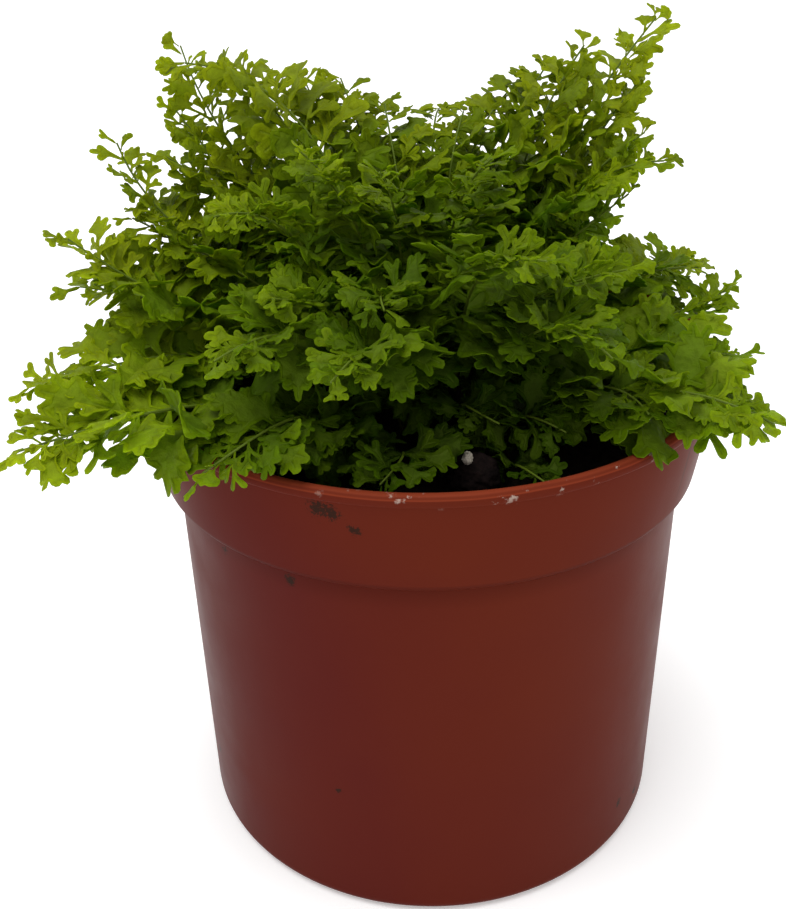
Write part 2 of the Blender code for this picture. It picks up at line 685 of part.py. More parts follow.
class Blade:
    """The sheet of one frond as it grows: its points, triangles and the two edges of its rib."""

    def __init__(self, frond):
        self.frond = frond
        self.points = []
        self.triangles = []
        self.edges = {1: [], -1: []}

    def rib_point(self, share, side, place=None):
        """Adds a point on one edge of the rib and gives its number."""
        if place is None:
            origin, _, aside, _ = self.frond.frame(share)
            place = origin + aside * side * self.frond.half_width(share)
        self.points.append(place)
        number = len(self.points) - 1
        self.edges[side].append((share, number))
        return number

    def add_leaflet(self, share, side, reach, corners, triangles):
        """Joins a leaflet's corners to the rib."""
        first = self.rib_point(share - reach, side, corners[0])
        self.points += corners[1:-1]
        last = self.rib_point(share + reach, side, corners[-1])
        numbers = range(first, last + 1)
        for a, b, c in triangles:
            corner = (a, b, c) if side < 0 else (a, c, b)
            self.triangles.append(tuple(numbers[i] for i in corner))

    def add_tip(self):
        """The last small leaflet, which ends the rib."""
        origin, along, aside, _ = self.frond.frame(1.0)
        size = leaflet_length(self.frond.leaflet, 1.0)
        left, right = (self.edges[side][-1][1] for side in (1, -1))
        tip = len(self.points)
        wide, far = aside * size * TIP_WIDTH, along * size * TIP_LENGTH
        self.points += [origin + wide, origin + far, origin - wide]
        self.triangles += [(left, tip + 1, tip), (left, right, tip + 1), (right, tip + 2, tip + 1)]

    def fill_rib(self):
        """Fills the strip between the rib's two edges."""
        left, right = (self.edges[side] for side in (1, -1))
        i = j = 0
        while i < len(left) - 1 or j < len(right) - 1:
            left_next = left[i + 1][0] if i < len(left) - 1 else math.inf
            right_next = right[j + 1][0] if j < len(right) - 1 else math.inf
            if left_next <= right_next:
                self.triangles.append((left[i][1], right[j][1], left[i + 1][1]))
                i += 1
            else:
                self.triangles.append((left[i][1], right[j][1], right[j + 1][1]))
                j += 1


def grow_blade(frond, around):
    """The sheet of one frond: stem and midrib with lobed leaflets on both sides."""
    rng = random.Random(f"{SEED} leaflets {frond.name}")
    blade = Blade(frond)
    for step in range(STEM_STEPS):
        share = (FIRST_LEAFLET - STEM_END) * step / (STEM_STEPS - 1)
        for side in (1, -1):
            blade.rib_point(share, side)
    own = Surroundings()
    own.add(*rib_ribbon(frond))
    for index, (share, u) in enumerate(leaflet_places(frond)):
        side = 1 if index % 2 else -1
        corners = place_leaflet(frond, share, side, u, rng, around, own.ready())
        if corners is None:
            blade.rib_point(share, side)
            continue
        triangles = leaflet_form(u)[1]
        blade.add_leaflet(share, side, leaflet_foot(u) / frond.length, corners, triangles)
        own.add(*free_part(corners, triangles))
    blade.fill_rib()
    blade.add_tip()
    return blade


def build_frond(blade, finish):
    """One frond as a thin closed solid, thicker along its rib."""
    bm = bmesh.new()
    verts = [bm.verts.new(point) for point in blade.points]
    for triangle in blade.triangles:
        bm.faces.new([verts[i] for i in triangle])
    bmesh.ops.recalc_face_normals(bm, faces=bm.faces)
    name = blade.frond.name
    made = add_object(name, mesh_from(name, bm), finish)
    rib = made.vertex_groups.new(name="rib")
    rib.add([number for edge in blade.edges.values() for _, number in edge], 1.0, "REPLACE")
    solid = made.modifiers.new("blade", "SOLIDIFY")
    solid.thickness = RIB_THICKNESS
    solid.offset = 0.0
    solid.vertex_group = "rib"
    solid.thickness_vertex_group = BLADE_THICKNESS / RIB_THICKNESS
    return made


def nearest_ribs(frond, others):
    """The least distance between this frond's midrib and those of the others."""
    shares = [step / RIB_SAMPLES for step in range(RIB_SAMPLES + 1)]
    mine = [frond.point(share) for share in shares]
    least = math.inf
    for other in others:
        theirs = [other.point(share) for share in shares]
        for here in mine:
            least = min(least, min((here - there).length for there in theirs))
    return least


def bend_clear(make, others):
    """The first of a few slight bends of a frond whose midrib stays clear of the others'."""
    best = None
    for sway, outward, shift in RIB_BENDS:
        frond = make(sway, outward, shift)
        least = nearest_ribs(frond, others)
        if least > RIB_CLEARANCE:
            return frond
        if best is None or least > best[0]:
            best = (least, frond)
    return best[1]


def leaf_material(frond):
    """The green of one frond: deep on the low, shaded ones and yellower towards the top."""
    height = (frond.point(1.0).z - LOW_TIP) / (HIGH_TIP - LOW_TIP)
    share = min(1.0, max(0.0, height))
    colour = [low + (high - low) * share for low, high in zip(SHADE_GREEN, LIGHT_GREEN)]
    return material("leaf_" + frond.name, colour, LEAF_ROUGHNESS)


def grow_blades(fronds, holders):
    """The sheet of every frond, each bent clear of the holders and of those before it."""
    ribbons = [rib_ribbon(frond) for frond in fronds]
    blades = []
    for frond in fronds:
        around = Surroundings()
        for holder in holders:
            around.add(*skin_of(holder))
        for other, ribbon in zip(fronds, ribbons):
            if other is not frond:
                around.add(*ribbon)
        for blade in blades:
            around.add(blade.points, blade.triangles)
        blades.append(grow_blade(frond, around.ready()))
    return blades


def build():
    """Builds every piece of the potted fern."""
    for old in list(bpy.data.objects):
        bpy.data.objects.remove(old)
    fronds = plan_fronds()
    pot = build_pot(material("pot_plastic", POT_COLOUR, POT_ROUGHNESS))
    soil = build_soil(fronds, material("compost", COMPOST_COLOUR, EARTH_ROUGHNESS))

    spot = direction(CHIP_AZIMUTH) * CHIP_REACH + Vector((0, 0, POT_HEIGHT))
    bark = material("bark_chip", BARK_COLOUR, EARTH_ROUGHNESS)
    chip = build_lump("bark_chip", spot, CHIP_SIZE, 2, 3, bark)
    settle(chip, soil)
    perlite = material("perlite_grain", PERLITE_COLOUR, EARTH_ROUGHNESS)
    grain = build_lump("perlite_grain", spot + GRAIN_OFFSET, GRAIN_SIZE, 1, 5, perlite)
    settle(grain, chip)

    for blade in grow_blades(fronds, (pot, soil, chip, grain)):
        build_frond(blade, leaf_material(blade.frond))


build()
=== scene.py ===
"""The looks of a young lace-leaved Boston fern in a thin plastic nursery pot.

Metres, +Z up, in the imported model's frame: the origin is the middle of the pot's underside.
Azimuths are in degrees, anticlockwise from +X seen from above; the pot's front is towards -Y.
"""

import math
import random

import bmesh
import bpy
import numpy as np
from mathutils import Matrix, Vector, noise
from mathutils.bvhtree import BVHTree
from mathutils.geometry import delaunay_2d_cdt


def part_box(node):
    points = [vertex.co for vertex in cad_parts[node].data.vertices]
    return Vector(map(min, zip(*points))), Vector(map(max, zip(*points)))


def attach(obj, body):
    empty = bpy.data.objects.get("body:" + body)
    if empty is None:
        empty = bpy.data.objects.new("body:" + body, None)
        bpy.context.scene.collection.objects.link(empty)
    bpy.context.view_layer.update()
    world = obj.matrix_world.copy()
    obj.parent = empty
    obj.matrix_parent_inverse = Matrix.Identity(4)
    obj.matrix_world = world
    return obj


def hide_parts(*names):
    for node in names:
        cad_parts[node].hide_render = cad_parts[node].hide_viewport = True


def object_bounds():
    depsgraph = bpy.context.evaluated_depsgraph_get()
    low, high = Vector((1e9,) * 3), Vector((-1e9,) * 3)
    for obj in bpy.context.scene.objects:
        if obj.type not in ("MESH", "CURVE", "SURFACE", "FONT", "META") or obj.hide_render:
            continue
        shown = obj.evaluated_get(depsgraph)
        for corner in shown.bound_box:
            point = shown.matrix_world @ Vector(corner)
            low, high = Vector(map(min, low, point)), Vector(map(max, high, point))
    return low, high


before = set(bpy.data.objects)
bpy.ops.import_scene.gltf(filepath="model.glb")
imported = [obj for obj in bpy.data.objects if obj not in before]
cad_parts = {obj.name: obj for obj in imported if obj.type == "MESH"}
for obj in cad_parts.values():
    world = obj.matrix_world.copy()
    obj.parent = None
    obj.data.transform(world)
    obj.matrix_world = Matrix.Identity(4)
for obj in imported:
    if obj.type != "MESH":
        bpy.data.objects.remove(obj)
CAD_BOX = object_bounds()

# Camera
CAMERA_LENS = 49.22
CAMERA_PLACE = (0.0, -0.23676, 0.21428)
CAMERA_RIGHT = (0.99957299, 0.01992733, -0.02137129)
CAMERA_UP = (0.00901563, 0.48537625, 0.87425889)
CAMERA_BACK = (0.02779476, -0.87407825, 0.48498934)
SENSOR_WIDTH = 36.0
NEAREST_SEEN = 0.01

# Floor and light
WHITE = (1.0, 1.0, 1.0)
FLOOR_HALF_SIZE = 4.0
FLOOR_COLOUR = (0.92, 0.92, 0.92)
FLOOR_ROUGHNESS = 0.9
FLOOR_SPECULAR = 0.1
# Painted light: how strongly the floor glows, to lift the shadows cast on it
FLOOR_GLOW = 0.28
ROOM_LIGHT = 0.79
OVERHEAD_PLACE = (-0.5, -0.5, 3.2)
OVERHEAD_AIM = (0.0, 0.0, 0.10)
OVERHEAD_SIZE = 2.0
OVERHEAD_POWER = 58.0

# Pot
RIM_RADIUS = 0.0600
POT_HEIGHT = 0.1080
COLLAR_HEIGHT = 0.0220
COLLAR_FOOT_RADIUS = 0.0565
BODY_TOP_RADIUS = 0.0534
BASE_RADIUS = 0.0522
WALL = 0.0012
LIP_HEIGHT = 0.0026
LIP_STAND_OUT = 0.0007
LIP_EDGE_FOOT = 0.1070
BASE_CORNER = 0.0030
FOOT_RING_WIDTH = 0.0070
BASE_RECESS = 0.0015
CENTRE_PAD_RADIUS = 0.0120
EDGE_EASE = 0.0001
POT_SIDES = 240
SEAM_WELD = 1e-6
DRAIN_HOLES = 6
DRAIN_HOLE_RADIUS = 0.0040
DRAIN_CIRCLE_RADIUS = 0.0310
DRAIN_HOLE_SIDES = 32
DRILL_LENGTH = 0.02
MOULDED_EDGE_ANGLE = 35

# Smudges of earth on the pot: where each one is and how far it spreads
SMUDGES = (
    ((-0.0185, -0.0557, 0.1035), 0.0026),
    ((-0.0164, -0.0563, 0.1030), 0.0022),
    ((-0.0126, -0.0569, 0.0997), 0.0015),
    ((-0.0257, -0.0467, 0.0824), 0.0015),
    ((-0.0394, -0.0360, 0.0821), 0.0011),
    ((-0.0484, -0.0202, 0.0173), 0.0014),
    ((-0.0188, -0.0492, 0.0323), 0.0010),
    ((0.0417, -0.0317, 0.0113), 0.0014),
    ((0.0467, -0.0235, 0.0073), 0.0014),
)

# Compost
SOIL_LEVEL = 0.0965
SOIL_MOUND = 0.0025
SOIL_CRUMB = 0.0009
CRUMBS_ALONG = (610, 1.3)
CRUMBS_ACROSS = (540, 0.4)
CRUMBS_SLANTING = (1130, 870, 0.6)
SOIL_RINGS = 36
SOIL_SIDES = 150
FINE_CRUMB = 0.0009
FINE_CRUMB_SCALE = 420
FINE_CRUMB_FRACTAL = (0.7, 2.0, 4)
CALM_EDGE = 0.002
FOOT_CORNER_CUT = 0.6
GAP = 0.0003

# The bark and the perlite: where in the noise each is cut from, and how rough they are
BARK_SEED = 3.0
PERLITE_SEED = 5.0
LUMP_SUBDIVISIONS = 5
LUMP_FRACTAL = (0.8, 2.0, 5)
LUMP_SCALE = 1.6
LUMP_CORE = 0.90
LUMP_SWELL = 0.16

# Fronds, as in the CAD source
STEM_DEPTH = 0.0080
STEM_HALF_WIDTH = 0.00075
TIP_HALF_WIDTH = 0.00040
FOOT_HANDLE = 0.42
TIP_HANDLE = 0.38
CURVE_STEPS = 60
FRAME_STEP = 0.01
BOW_SCALE = 6.75
RIB_CLEARANCE = 0.0030
RIB_SAMPLES = 50
LEAST_FOOT = 0.0045
SEED = 41
MOST_SWAY = 0.004
MOST_TWIST = 20
FRONT_TWIST = 22

# How far the fronds of a whorl differ: degrees, metres and a share of the reach
AZIMUTH_RANGE = 5
FOOT_RANGE = 0.0012
REACH_RANGE = 0.10
HEIGHT_RANGE = 0.005
LAUNCH_RANGE = 5
TIP_RANGE = 18

# Leaflets
LEAFLET_SPACING = 0.0064
FEWEST_LEAFLETS = 6
MOST_LEAFLETS = 12
FIRST_LEAFLET = 0.28
LAST_LEAFLET = 0.955
CROWDING = 1.2
FIRST_SIZE = 0.62
FULL_FROM = 0.40
TAPER_FROM = 0.35
LAST_SIZE = 0.26
TAPER_POWER = 1.8
LENGTH_RANGE = 0.08
FIRST_ANGLE = 68
LAST_ANGLE = 42
PLAIN_ROLL = 10
ROLL_WITH_SLOPE = 0.45
LEAFLET_LIFT = 7
LIFT_RANGE = 16
TURN_RANGE = 22
LEAFLET_DROOP = 0.16
LEAFLET_FOLD = 0.12

# How a leaflet may be bent (degrees) and shortened (share), and how a midrib may be bent (metres to
# the side, metres outward, degrees round), each in the order in which it is tried
BENDS = (0, 10, -10, 20, -20, 32, -32, 46, -46, 60)
SHORTER = (1.0, 0.85, 0.7, 0.55)
RIB_BENDS = (
    (0.0, 0.0, 0.0), (0.003, 0.0, 0.0), (-0.003, 0.0, 0.0),
    (0.0, 0.002, 0.0), (0.0, -0.002, 0.0), (0.003, 0.002, 0.0), (-0.003, 0.002, 0.0),
    (0.003, -0.002, 0.0), (-0.003, -0.002, 0.0), (0.0, 0.004, 0.0), (0.0, -0.004, 0.0),
    (0.004, 0.004, 0.0), (-0.004, 0.004, 0.0), (0.004, -0.004, 0.0), (-0.004, -0.004, 0.0),
    (0.0, 0.0, 4.0), (0.0, 0.0, -4.0), (0.005, 0.0, 3.0), (-0.005, 0.0, -3.0),
    (0.0, 0.003, 6.0), (0.0, 0.003, -6.0), (0.0, 0.0, 9.0), (0.0, 0.0, -9.0),
)

# The fronds that make the outline: name, azimuth, foot radius, reach, tip height, launch slope,
# tip slope, longest leaflet, twist. Lengths are in metres and slopes in degrees above level.
LEADERS = (
    ("right_tall", 27, 0.0120, 0.0520, 0.1690, 76, 46, 0.0160, -35),
    ("right_second", 47, 0.0080, 0.0365, 0.1590, 80, 46, 0.0165, -25),
    ("right_third", 36, 0.0105, 0.0400, 0.1640, 78, 48, 0.0165, -30),
    ("right_flank", 18, 0.0150, 0.0445, 0.1590, 74, 50, 0.0145, -35),
    ("right_side", 7, 0.0130, 0.0430, 0.1510, 76, 36, 0.0145, -35),
    ("right_arm", 357, 0.0160, 0.0455, 0.1475, 82, 4, 0.0140, -35),
    ("right_wisp", 350, 0.0110, 0.0390, 0.1425, 74, 40, 0.0120, -30),
    ("right_crest", 12, 0.0200, 0.0590, 0.1205, 60, -4, 0.0165, -25),
    ("right_back", 31, 0.0250, 0.0710, 0.1120, 50, -20, 0.0150, -20),
    ("right_shoulder", 2, 0.0230, 0.0620, 0.1200, 54, 40, 0.0155, -25),
    ("right_elbow", 341, 0.0230, 0.0630, 0.1150, 56, 2, 0.0175, -20),
    ("right_sweep", 322, 0.0260, 0.0755, 0.1140, 42, -15, 0.0190, -20),
    ("right_drop", 311, 0.0250, 0.0585, 0.1150, 56, -10, 0.0155, -10),
    ("front_small", 294, 0.0350, 0.0520, 0.1030, 34, -20, 0.0082, 0),
    ("front_left", 226, 0.0300, 0.0470, 0.1080, 58, -24, 0.0135, 0),
    ("front_middle", 246, 0.0300, 0.0505, 0.1080, 56, -28, 0.0140, 0),
    ("front_right", 261, 0.0320, 0.0530, 0.1060, 54, -34, 0.0135, 0),
    ("front_inner", 289, 0.0190, 0.0400, 0.1100, 64, -18, 0.0120, 0),
    ("right_inner", 303, 0.0260, 0.0460, 0.1085, 58, -26, 0.0130, 0),
    ("left_tall", 151, 0.0110, 0.0575, 0.1645, 74, 60, 0.0140, 40),
    ("left_second", 157, 0.0070, 0.0525, 0.1625, 80, 2, 0.0165, 35),
    ("left_inner", 140, 0.0100, 0.0500, 0.1590, 78, 30, 0.0165, 30),
    ("left_middle", 160, 0.0130, 0.0540, 0.1535, 72, 46, 0.0150, 35),
    ("left_upper", 173, 0.0190, 0.0615, 0.1500, 68, 70, 0.0145, 40),
    ("left_fill", 166, 0.0165, 0.0545, 0.1455, 72, 34, 0.0155, 35),
    ("left_crest", 180, 0.0160, 0.0580, 0.1370, 66, 30, 0.0150, 35),
    ("left_arm", 190, 0.0190, 0.0690, 0.1370, 50, 40, 0.0195, 35),
    ("left_shoulder", 185, 0.0240, 0.0690, 0.1250, 46, 8, 0.0175, 30),
    ("left_low", 176, 0.0265, 0.0570, 0.1110, 50, -12, 0.0150, 20),
    ("left_spread", 202, 0.0230, 0.0800, 0.1145, 54, -8, 0.0175, 25),
    ("left_sweep", 216, 0.0260, 0.0870, 0.1125, 36, -11, 0.0200, 20),
    ("left_hanging", 234, 0.0270, 0.0655, 0.1090, 54, -38, 0.0160, 10),
    ("left_back", 127, 0.0120, 0.0430, 0.1565, 78, 32, 0.0150, 20),
    ("back_left", 119, 0.0080, 0.0365, 0.1565, 80, 34, 0.0165, 15),
    ("back_peak", 108, 0.0050, 0.0270, 0.1525, 82, 34, 0.0150, 10),
    ("back_far", 86, 0.0130, 0.0480, 0.1460, 78, -10, 0.0140, 0),
    ("back_dip", 70, 0.0060, 0.0235, 0.1515, 82, 40, 0.0130, 0),
    ("back_right", 58, 0.0100, 0.0330, 0.1540, 80, 34, 0.0130, -15),
)

# The rest, whorl by whorl: name, foot radius, reach, tip height, launch slope, tip slope, longest
# leaflet, azimuths.
WHORLS = (
    ("skirt", 0.0250, 0.0710, 0.1125, 54, -30, 0.0155, (94, 126, 158)),
    ("low", 0.0190, 0.0620, 0.1240, 66, -14, 0.0165, (60, 90, 132, 230, 256, 300)),
    ("middle", 0.0145, 0.0470, 0.1400, 74, 6, 0.0160, (208, 236, 262, 290, 314, 20)),
    ("upright", 0.0095, 0.0270, 0.1520, 82, 30, 0.0150, (222, 256, 302)),
)

# A leaflet's plain sheet, as shares of its length: how far along and across its corners are
SHEET_CORNERS = ((0.60, -0.48), (1.00, -0.18), (0.96, 0.16), (0.50, 0.46))
SHEET_TRIANGLES = ((0, 1, 2), (0, 2, 3), (0, 3, 4))

# The middle of the crown, from which leaves face outward and away from which their green grows paler,
# partly as painted shade, and the middle of its shaded front, round which the leaves are painted darker
# and greener as shade
HEART = (0.0, 0.0, 0.085)
SHADE = (0.005, -0.036, 0.099)

# The small leaflets between the solid's: neat at the top of the plant, loose lower down
BLADE_START = 0.20
BLADE_END = 0.965
NEAT_ABOVE = 0.146
NEAT_RANGE = 0.016
WHORL_CALM = 0.35
LEADER_CALM = 0.65
NEAT_SPACING = 0.0036
LOOSE_SPACING = 0.0017
SPACING_LOOSENS = 1.6
SPACING_JITTER = (0.8, 1.2)
TIP_CROWDING = 0.35
SMALL_TURN = 12

# Their length, lift and facing: the value of a neat leaflet, and what full looseness adds to it
SHORTEST = (0.98, -0.40)
LONGEST = (1.18, -0.25)
MOST_LIFT = (14, 30)
STRAY_SHARE = (0.25, 0.30)
PLAIN_SHARE = (1.0, -0.8)
FACING_OUT = 0.8
FACING_UP = Vector((0, 0, 0.6))

# Which kind of leaflet grows where: heights and lengths in metres, the rest shares
HEIGHT_JITTER = 0.008
LACY_FROM = 0.128
SPRAY_FROM = 0.140
FAN_UNDER = 0.0062
FAN_BEYOND = 0.92
SPRAY_OVER = 0.0095
LACY_BEYOND = 0.68
MEDIUM_UNDER = 0.0105
HIGH_USUAL = 0.75
LOW_USUAL = 0.8

# The leaflet's flat pattern, as shares of its length
GRID_STEP = 0.0125
GRID_MARGIN = 0.15
OUTLINE_DETAIL = 0.0100
LATTICE_STEP = 0.125
LATTICE_ROW = 0.87
LATTICE_DEPTH = 0.42
LATTICE_CLEAR = 0.4
WELD = 1e-4
SLIVER = 1e-7
CLOSED = 1e-9
EDGE_DEPTH = 0.070
MOST_LOBES = 9

# The lobes and teeth of a pattern: angles in degrees, widths as shares of the leaflet's length, and
# the rest as shares of the lobe's own values
ANGLE_JITTER = 5
STALK_FOOT = 0.55
TOOTH_FOOT = 0.8
OUTER_TEETH_LOSS = 0.16
TOOTH_LENGTHS = (0.86, 1.10)
TOOTH_SIZES = (0.88, 1.12)
SPINE_FOOT_WIDTH = 0.022
SPINE_FOOT = 0.6
OTHER_SIDE_SHIFT = 0.35
LOBE_SHIFT = 0.02
LOBES_CLOSE = 14
LOBE_LOSS = 0.26
LOBE_LOSS_POWER = 1.3
FIRST_LOBE_LOSS = 0.08
LOBE_LENGTHS = (0.88, 1.12)
END_LOBE_STALK = 0.30
END_LOBE_TEETH = 3
END_LOBE_SPREAD = 40
WEDGE_STALK_WIDTHS = (0.024, 0.034)
SIDE_LOBES_LOSS = 0.18
WEDGE_LENGTHS = (0.90, 1.10)
WEDGE_LOBE_STALK = 0.50

# How one leaflet is shaped as it is laid out, as shares of its length
FOLD_RANGE = (-0.10, 0.30)
DROOP_RANGE = (-0.10, 0.14)
LOBE_TILT = 0.50
KEEL_RANGE = (-0.60, 0.45)
RUFFLE_RANGE = (0.012, 0.045)
RUFFLES = 7.0
RUFFLE_MIDDLE = 0.35
SHEET_BOW = 0.14
SHEET_TWIST = 0.35
BLADE_THICKNESS = 0.00030
EDGE_THINNING = 0.45
BUD_LENGTH = 1.2
LEAF_EDGE_ANGLE = 65

# The round rachis of stem and midrib, against the half width of the solid's
RACHIS_SIDES = 6
RACHIS_STEPS = 26
RACHIS_WIDTH = 0.62
RACHIS_TAPER = 0.15


def direction(azimuth):
    """The unit vector that points out from the pot's axis at this azimuth."""
    angle = math.radians(azimuth)
    return Vector((math.cos(angle), math.sin(angle), 0.0))


def add_piece(name, mesh, *finishes):
    """Puts a mesh in the scene as one named piece."""
    made = bpy.data.objects.new(name, mesh)
    bpy.context.scene.collection.objects.link(made)
    for finish in finishes:
        mesh.materials.append(finish)
    return made


def mesh_from(name, bm):
    """Turns a bmesh into a mesh and frees it."""
    mesh = bpy.data.meshes.new(name)
    bm.to_mesh(mesh)
    bm.free()
    return mesh


def arc(centre, radius, start, end, steps):
    """Points on a circular arc in the (radius, height) plane; angles in degrees."""
    points = []
    for step in range(steps + 1):
        angle = math.radians(start + (end - start) * step / steps)
        points.append((centre[0] + radius * math.cos(angle), centre[1] + radius * math.sin(angle)))
    return points


# Fronds and where their leaflets stand


def soil_height(x, y):
    """The compost's surface: a low mound with small crumbs, from a formula."""
    radius = math.hypot(x, y)
    mound = SOIL_MOUND * math.cos(min(1.0, radius / BODY_TOP_RADIUS) * math.pi / 2)
    crumbs = math.sin(x * CRUMBS_ALONG[0] + CRUMBS_ALONG[1])
    crumbs *= math.sin(y * CRUMBS_ACROSS[0] + CRUMBS_ACROSS[1])
    crumbs += CRUMBS_SLANTING[2] * math.sin(x * CRUMBS_SLANTING[0] - y * CRUMBS_SLANTING[1])
    return SOIL_LEVEL + mound + SOIL_CRUMB * crumbs


class Frond:
    """One frond's midrib: a cubic curve in an upright plane, bowed a little to one side."""

    def __init__(
        self, name, azimuth, foot_radius, reach, tip_height, launch, tip_slope, leaflet, twist, sway
    ):
        self.name = name
        self.leaflet = leaflet
        self.twist = twist
        self.sway = sway
        out = direction(azimuth)
        rise = Vector((0, 0, 1))
        foot = out * foot_radius
        ground = Vector((foot.x, foot.y, soil_height(foot.x, foot.y)))
        tip = out * reach + rise * tip_height
        span = (tip - ground).length
        self.aside = rise.cross(out)
        self.launch = out * math.cos(math.radians(launch)) + rise * math.sin(math.radians(launch))
        end = out * math.cos(math.radians(tip_slope)) + rise * math.sin(math.radians(tip_slope))
        near_foot = ground + self.launch * span * FOOT_HANDLE
        near_tip = tip - end * span * TIP_HANDLE
        self.knots = (ground, near_foot, near_tip, tip)
        self.sunk = STEM_DEPTH
        self.table = [0.0]
        before = self.curve(0.0)
        for step in range(1, CURVE_STEPS + 1):
            here = self.curve(step / CURVE_STEPS)
            self.table.append(self.table[-1] + (here - before).length)
            before = here
        self.length = self.table[-1] + self.sunk

    def curve(self, u):
        """The midrib above ground, u from 0 at the soil to 1 at the tip."""
        a, b, c, d = self.knots
        v = 1 - u
        plain = a * v**3 + b * 3 * u * v * v + c * 3 * u * u * v + d * u**3
        return plain + self.aside * self.sway * BOW_SCALE * u * u * v

    def at_length(self, distance):
        """The point this far along the midrib from its buried foot."""
        above = distance - self.sunk
        if above <= 0:
            return self.knots[0] + self.launch * above
        index = 0
        while index < CURVE_STEPS - 1 and self.table[index + 1] < above:
            index += 1
        low, high = self.table[index], self.table[index + 1]
        return self.curve((index + min(1.0, (above - low) / (high - low))) / CURVE_STEPS)

    def point(self, share):
        return self.at_length(share * self.length)

    def frame(self, share):
        """(point, along, aside, up) at this share of the length."""
        ahead = self.point(min(1.0, share + FRAME_STEP))
        behind = self.point(max(0.0, share - FRAME_STEP))
        along = (ahead - behind).normalized()
        aside = Vector((0, 0, 1)).cross(along).normalized()
        return self.point(share), along, aside, along.cross(aside)

    def half_width(self, share):
        return STEM_HALF_WIDTH + (TIP_HALF_WIDTH - STEM_HALF_WIDTH) * share


def nearest_ribs(frond, others):
    """The least distance between this frond's midrib and those of the others."""
    shares = [step / RIB_SAMPLES for step in range(RIB_SAMPLES + 1)]
    mine = np.array([frond.point(share) for share in shares])
    least = math.inf
    for other in others:
        theirs = np.array([other.point(share) for share in shares])
        apart = np.linalg.norm(mine[:, None, :] - theirs[None, :, :], axis=2)
        least = min(least, float(apart.min()))
    return least


def bend_clear(make, others):
    """The first of a few slight bends of a frond whose midrib stays clear of the others'."""
    best = None
    for sway, outward, shift in RIB_BENDS:
        frond = make(sway, outward, shift)
        least = nearest_ribs(frond, others)
        if least > RIB_CLEARANCE:
            return frond
        if best is None or least > best[0]:
            best = (least, frond)
    return best[1]


def plan_fronds():
    """Every frond of the plant, with small seeded differences, its midrib clear of the others."""
    plans = []
    for name, *shape in LEADERS:
        plans.append(("frond_" + name, *shape))
    for name, foot, reach, height, launch, tip_slope, leaflet, azimuths in WHORLS:
        for number, azimuth in enumerate(azimuths, 1):
            whole = f"frond_{name}_{number}"
            rng = random.Random(f"{SEED} plan {whole}")
            plans.append(
                (
                    whole,
                    azimuth + rng.uniform(-AZIMUTH_RANGE, AZIMUTH_RANGE),
                    foot + rng.uniform(-FOOT_RANGE, FOOT_RANGE),
                    reach * (1 + rng.uniform(-REACH_RANGE, REACH_RANGE)),
                    height + rng.uniform(-HEIGHT_RANGE, HEIGHT_RANGE),
                    launch + rng.uniform(-LAUNCH_RANGE, LAUNCH_RANGE),
                    tip_slope + rng.uniform(-TIP_RANGE, TIP_RANGE),
                    leaflet,
                    rng.uniform(-MOST_TWIST, MOST_TWIST)
                    - FRONT_TWIST * math.cos(math.radians(azimuth)),
                )
            )
    fronds = []
    for name, azimuth, foot, *shape in plans:
        sway = random.Random(f"{SEED} sway {name}").uniform(-MOST_SWAY, MOST_SWAY)

        def make(more, outward, shift):
            return Frond(name, azimuth + shift, max(LEAST_FOOT, foot + outward), *shape, sway + more)

        fronds.append(bend_clear(make, fronds))
    return fronds


def leaflet_places(frond):
    """(share of the length, share of the blade) of each leaflet; the last stand closer together."""
    blade = frond.length * (LAST_LEAFLET - FIRST_LEAFLET)
    count = max(FEWEST_LEAFLETS, min(MOST_LEAFLETS, round(blade / LEAFLET_SPACING)))
    for index in range(count):
        u = index / (count - 1)
        yield FIRST_LEAFLET + (LAST_LEAFLET - FIRST_LEAFLET) * (1 - (1 - u) ** CROWDING), u


def leaflet_length(longest, u):
    """Short at the foot of the blade, longest a third of the way up, small at the tip."""
    swell = FIRST_SIZE + (1 - FIRST_SIZE) * math.sin(min(1.0, u / FULL_FROM) * math.pi / 2)
    past = max(0.0, (u - TAPER_FROM) / (1 - TAPER_FROM))
    taper = 1 - (1 - LAST_SIZE) * past**TAPER_POWER
    return longest * swell * taper


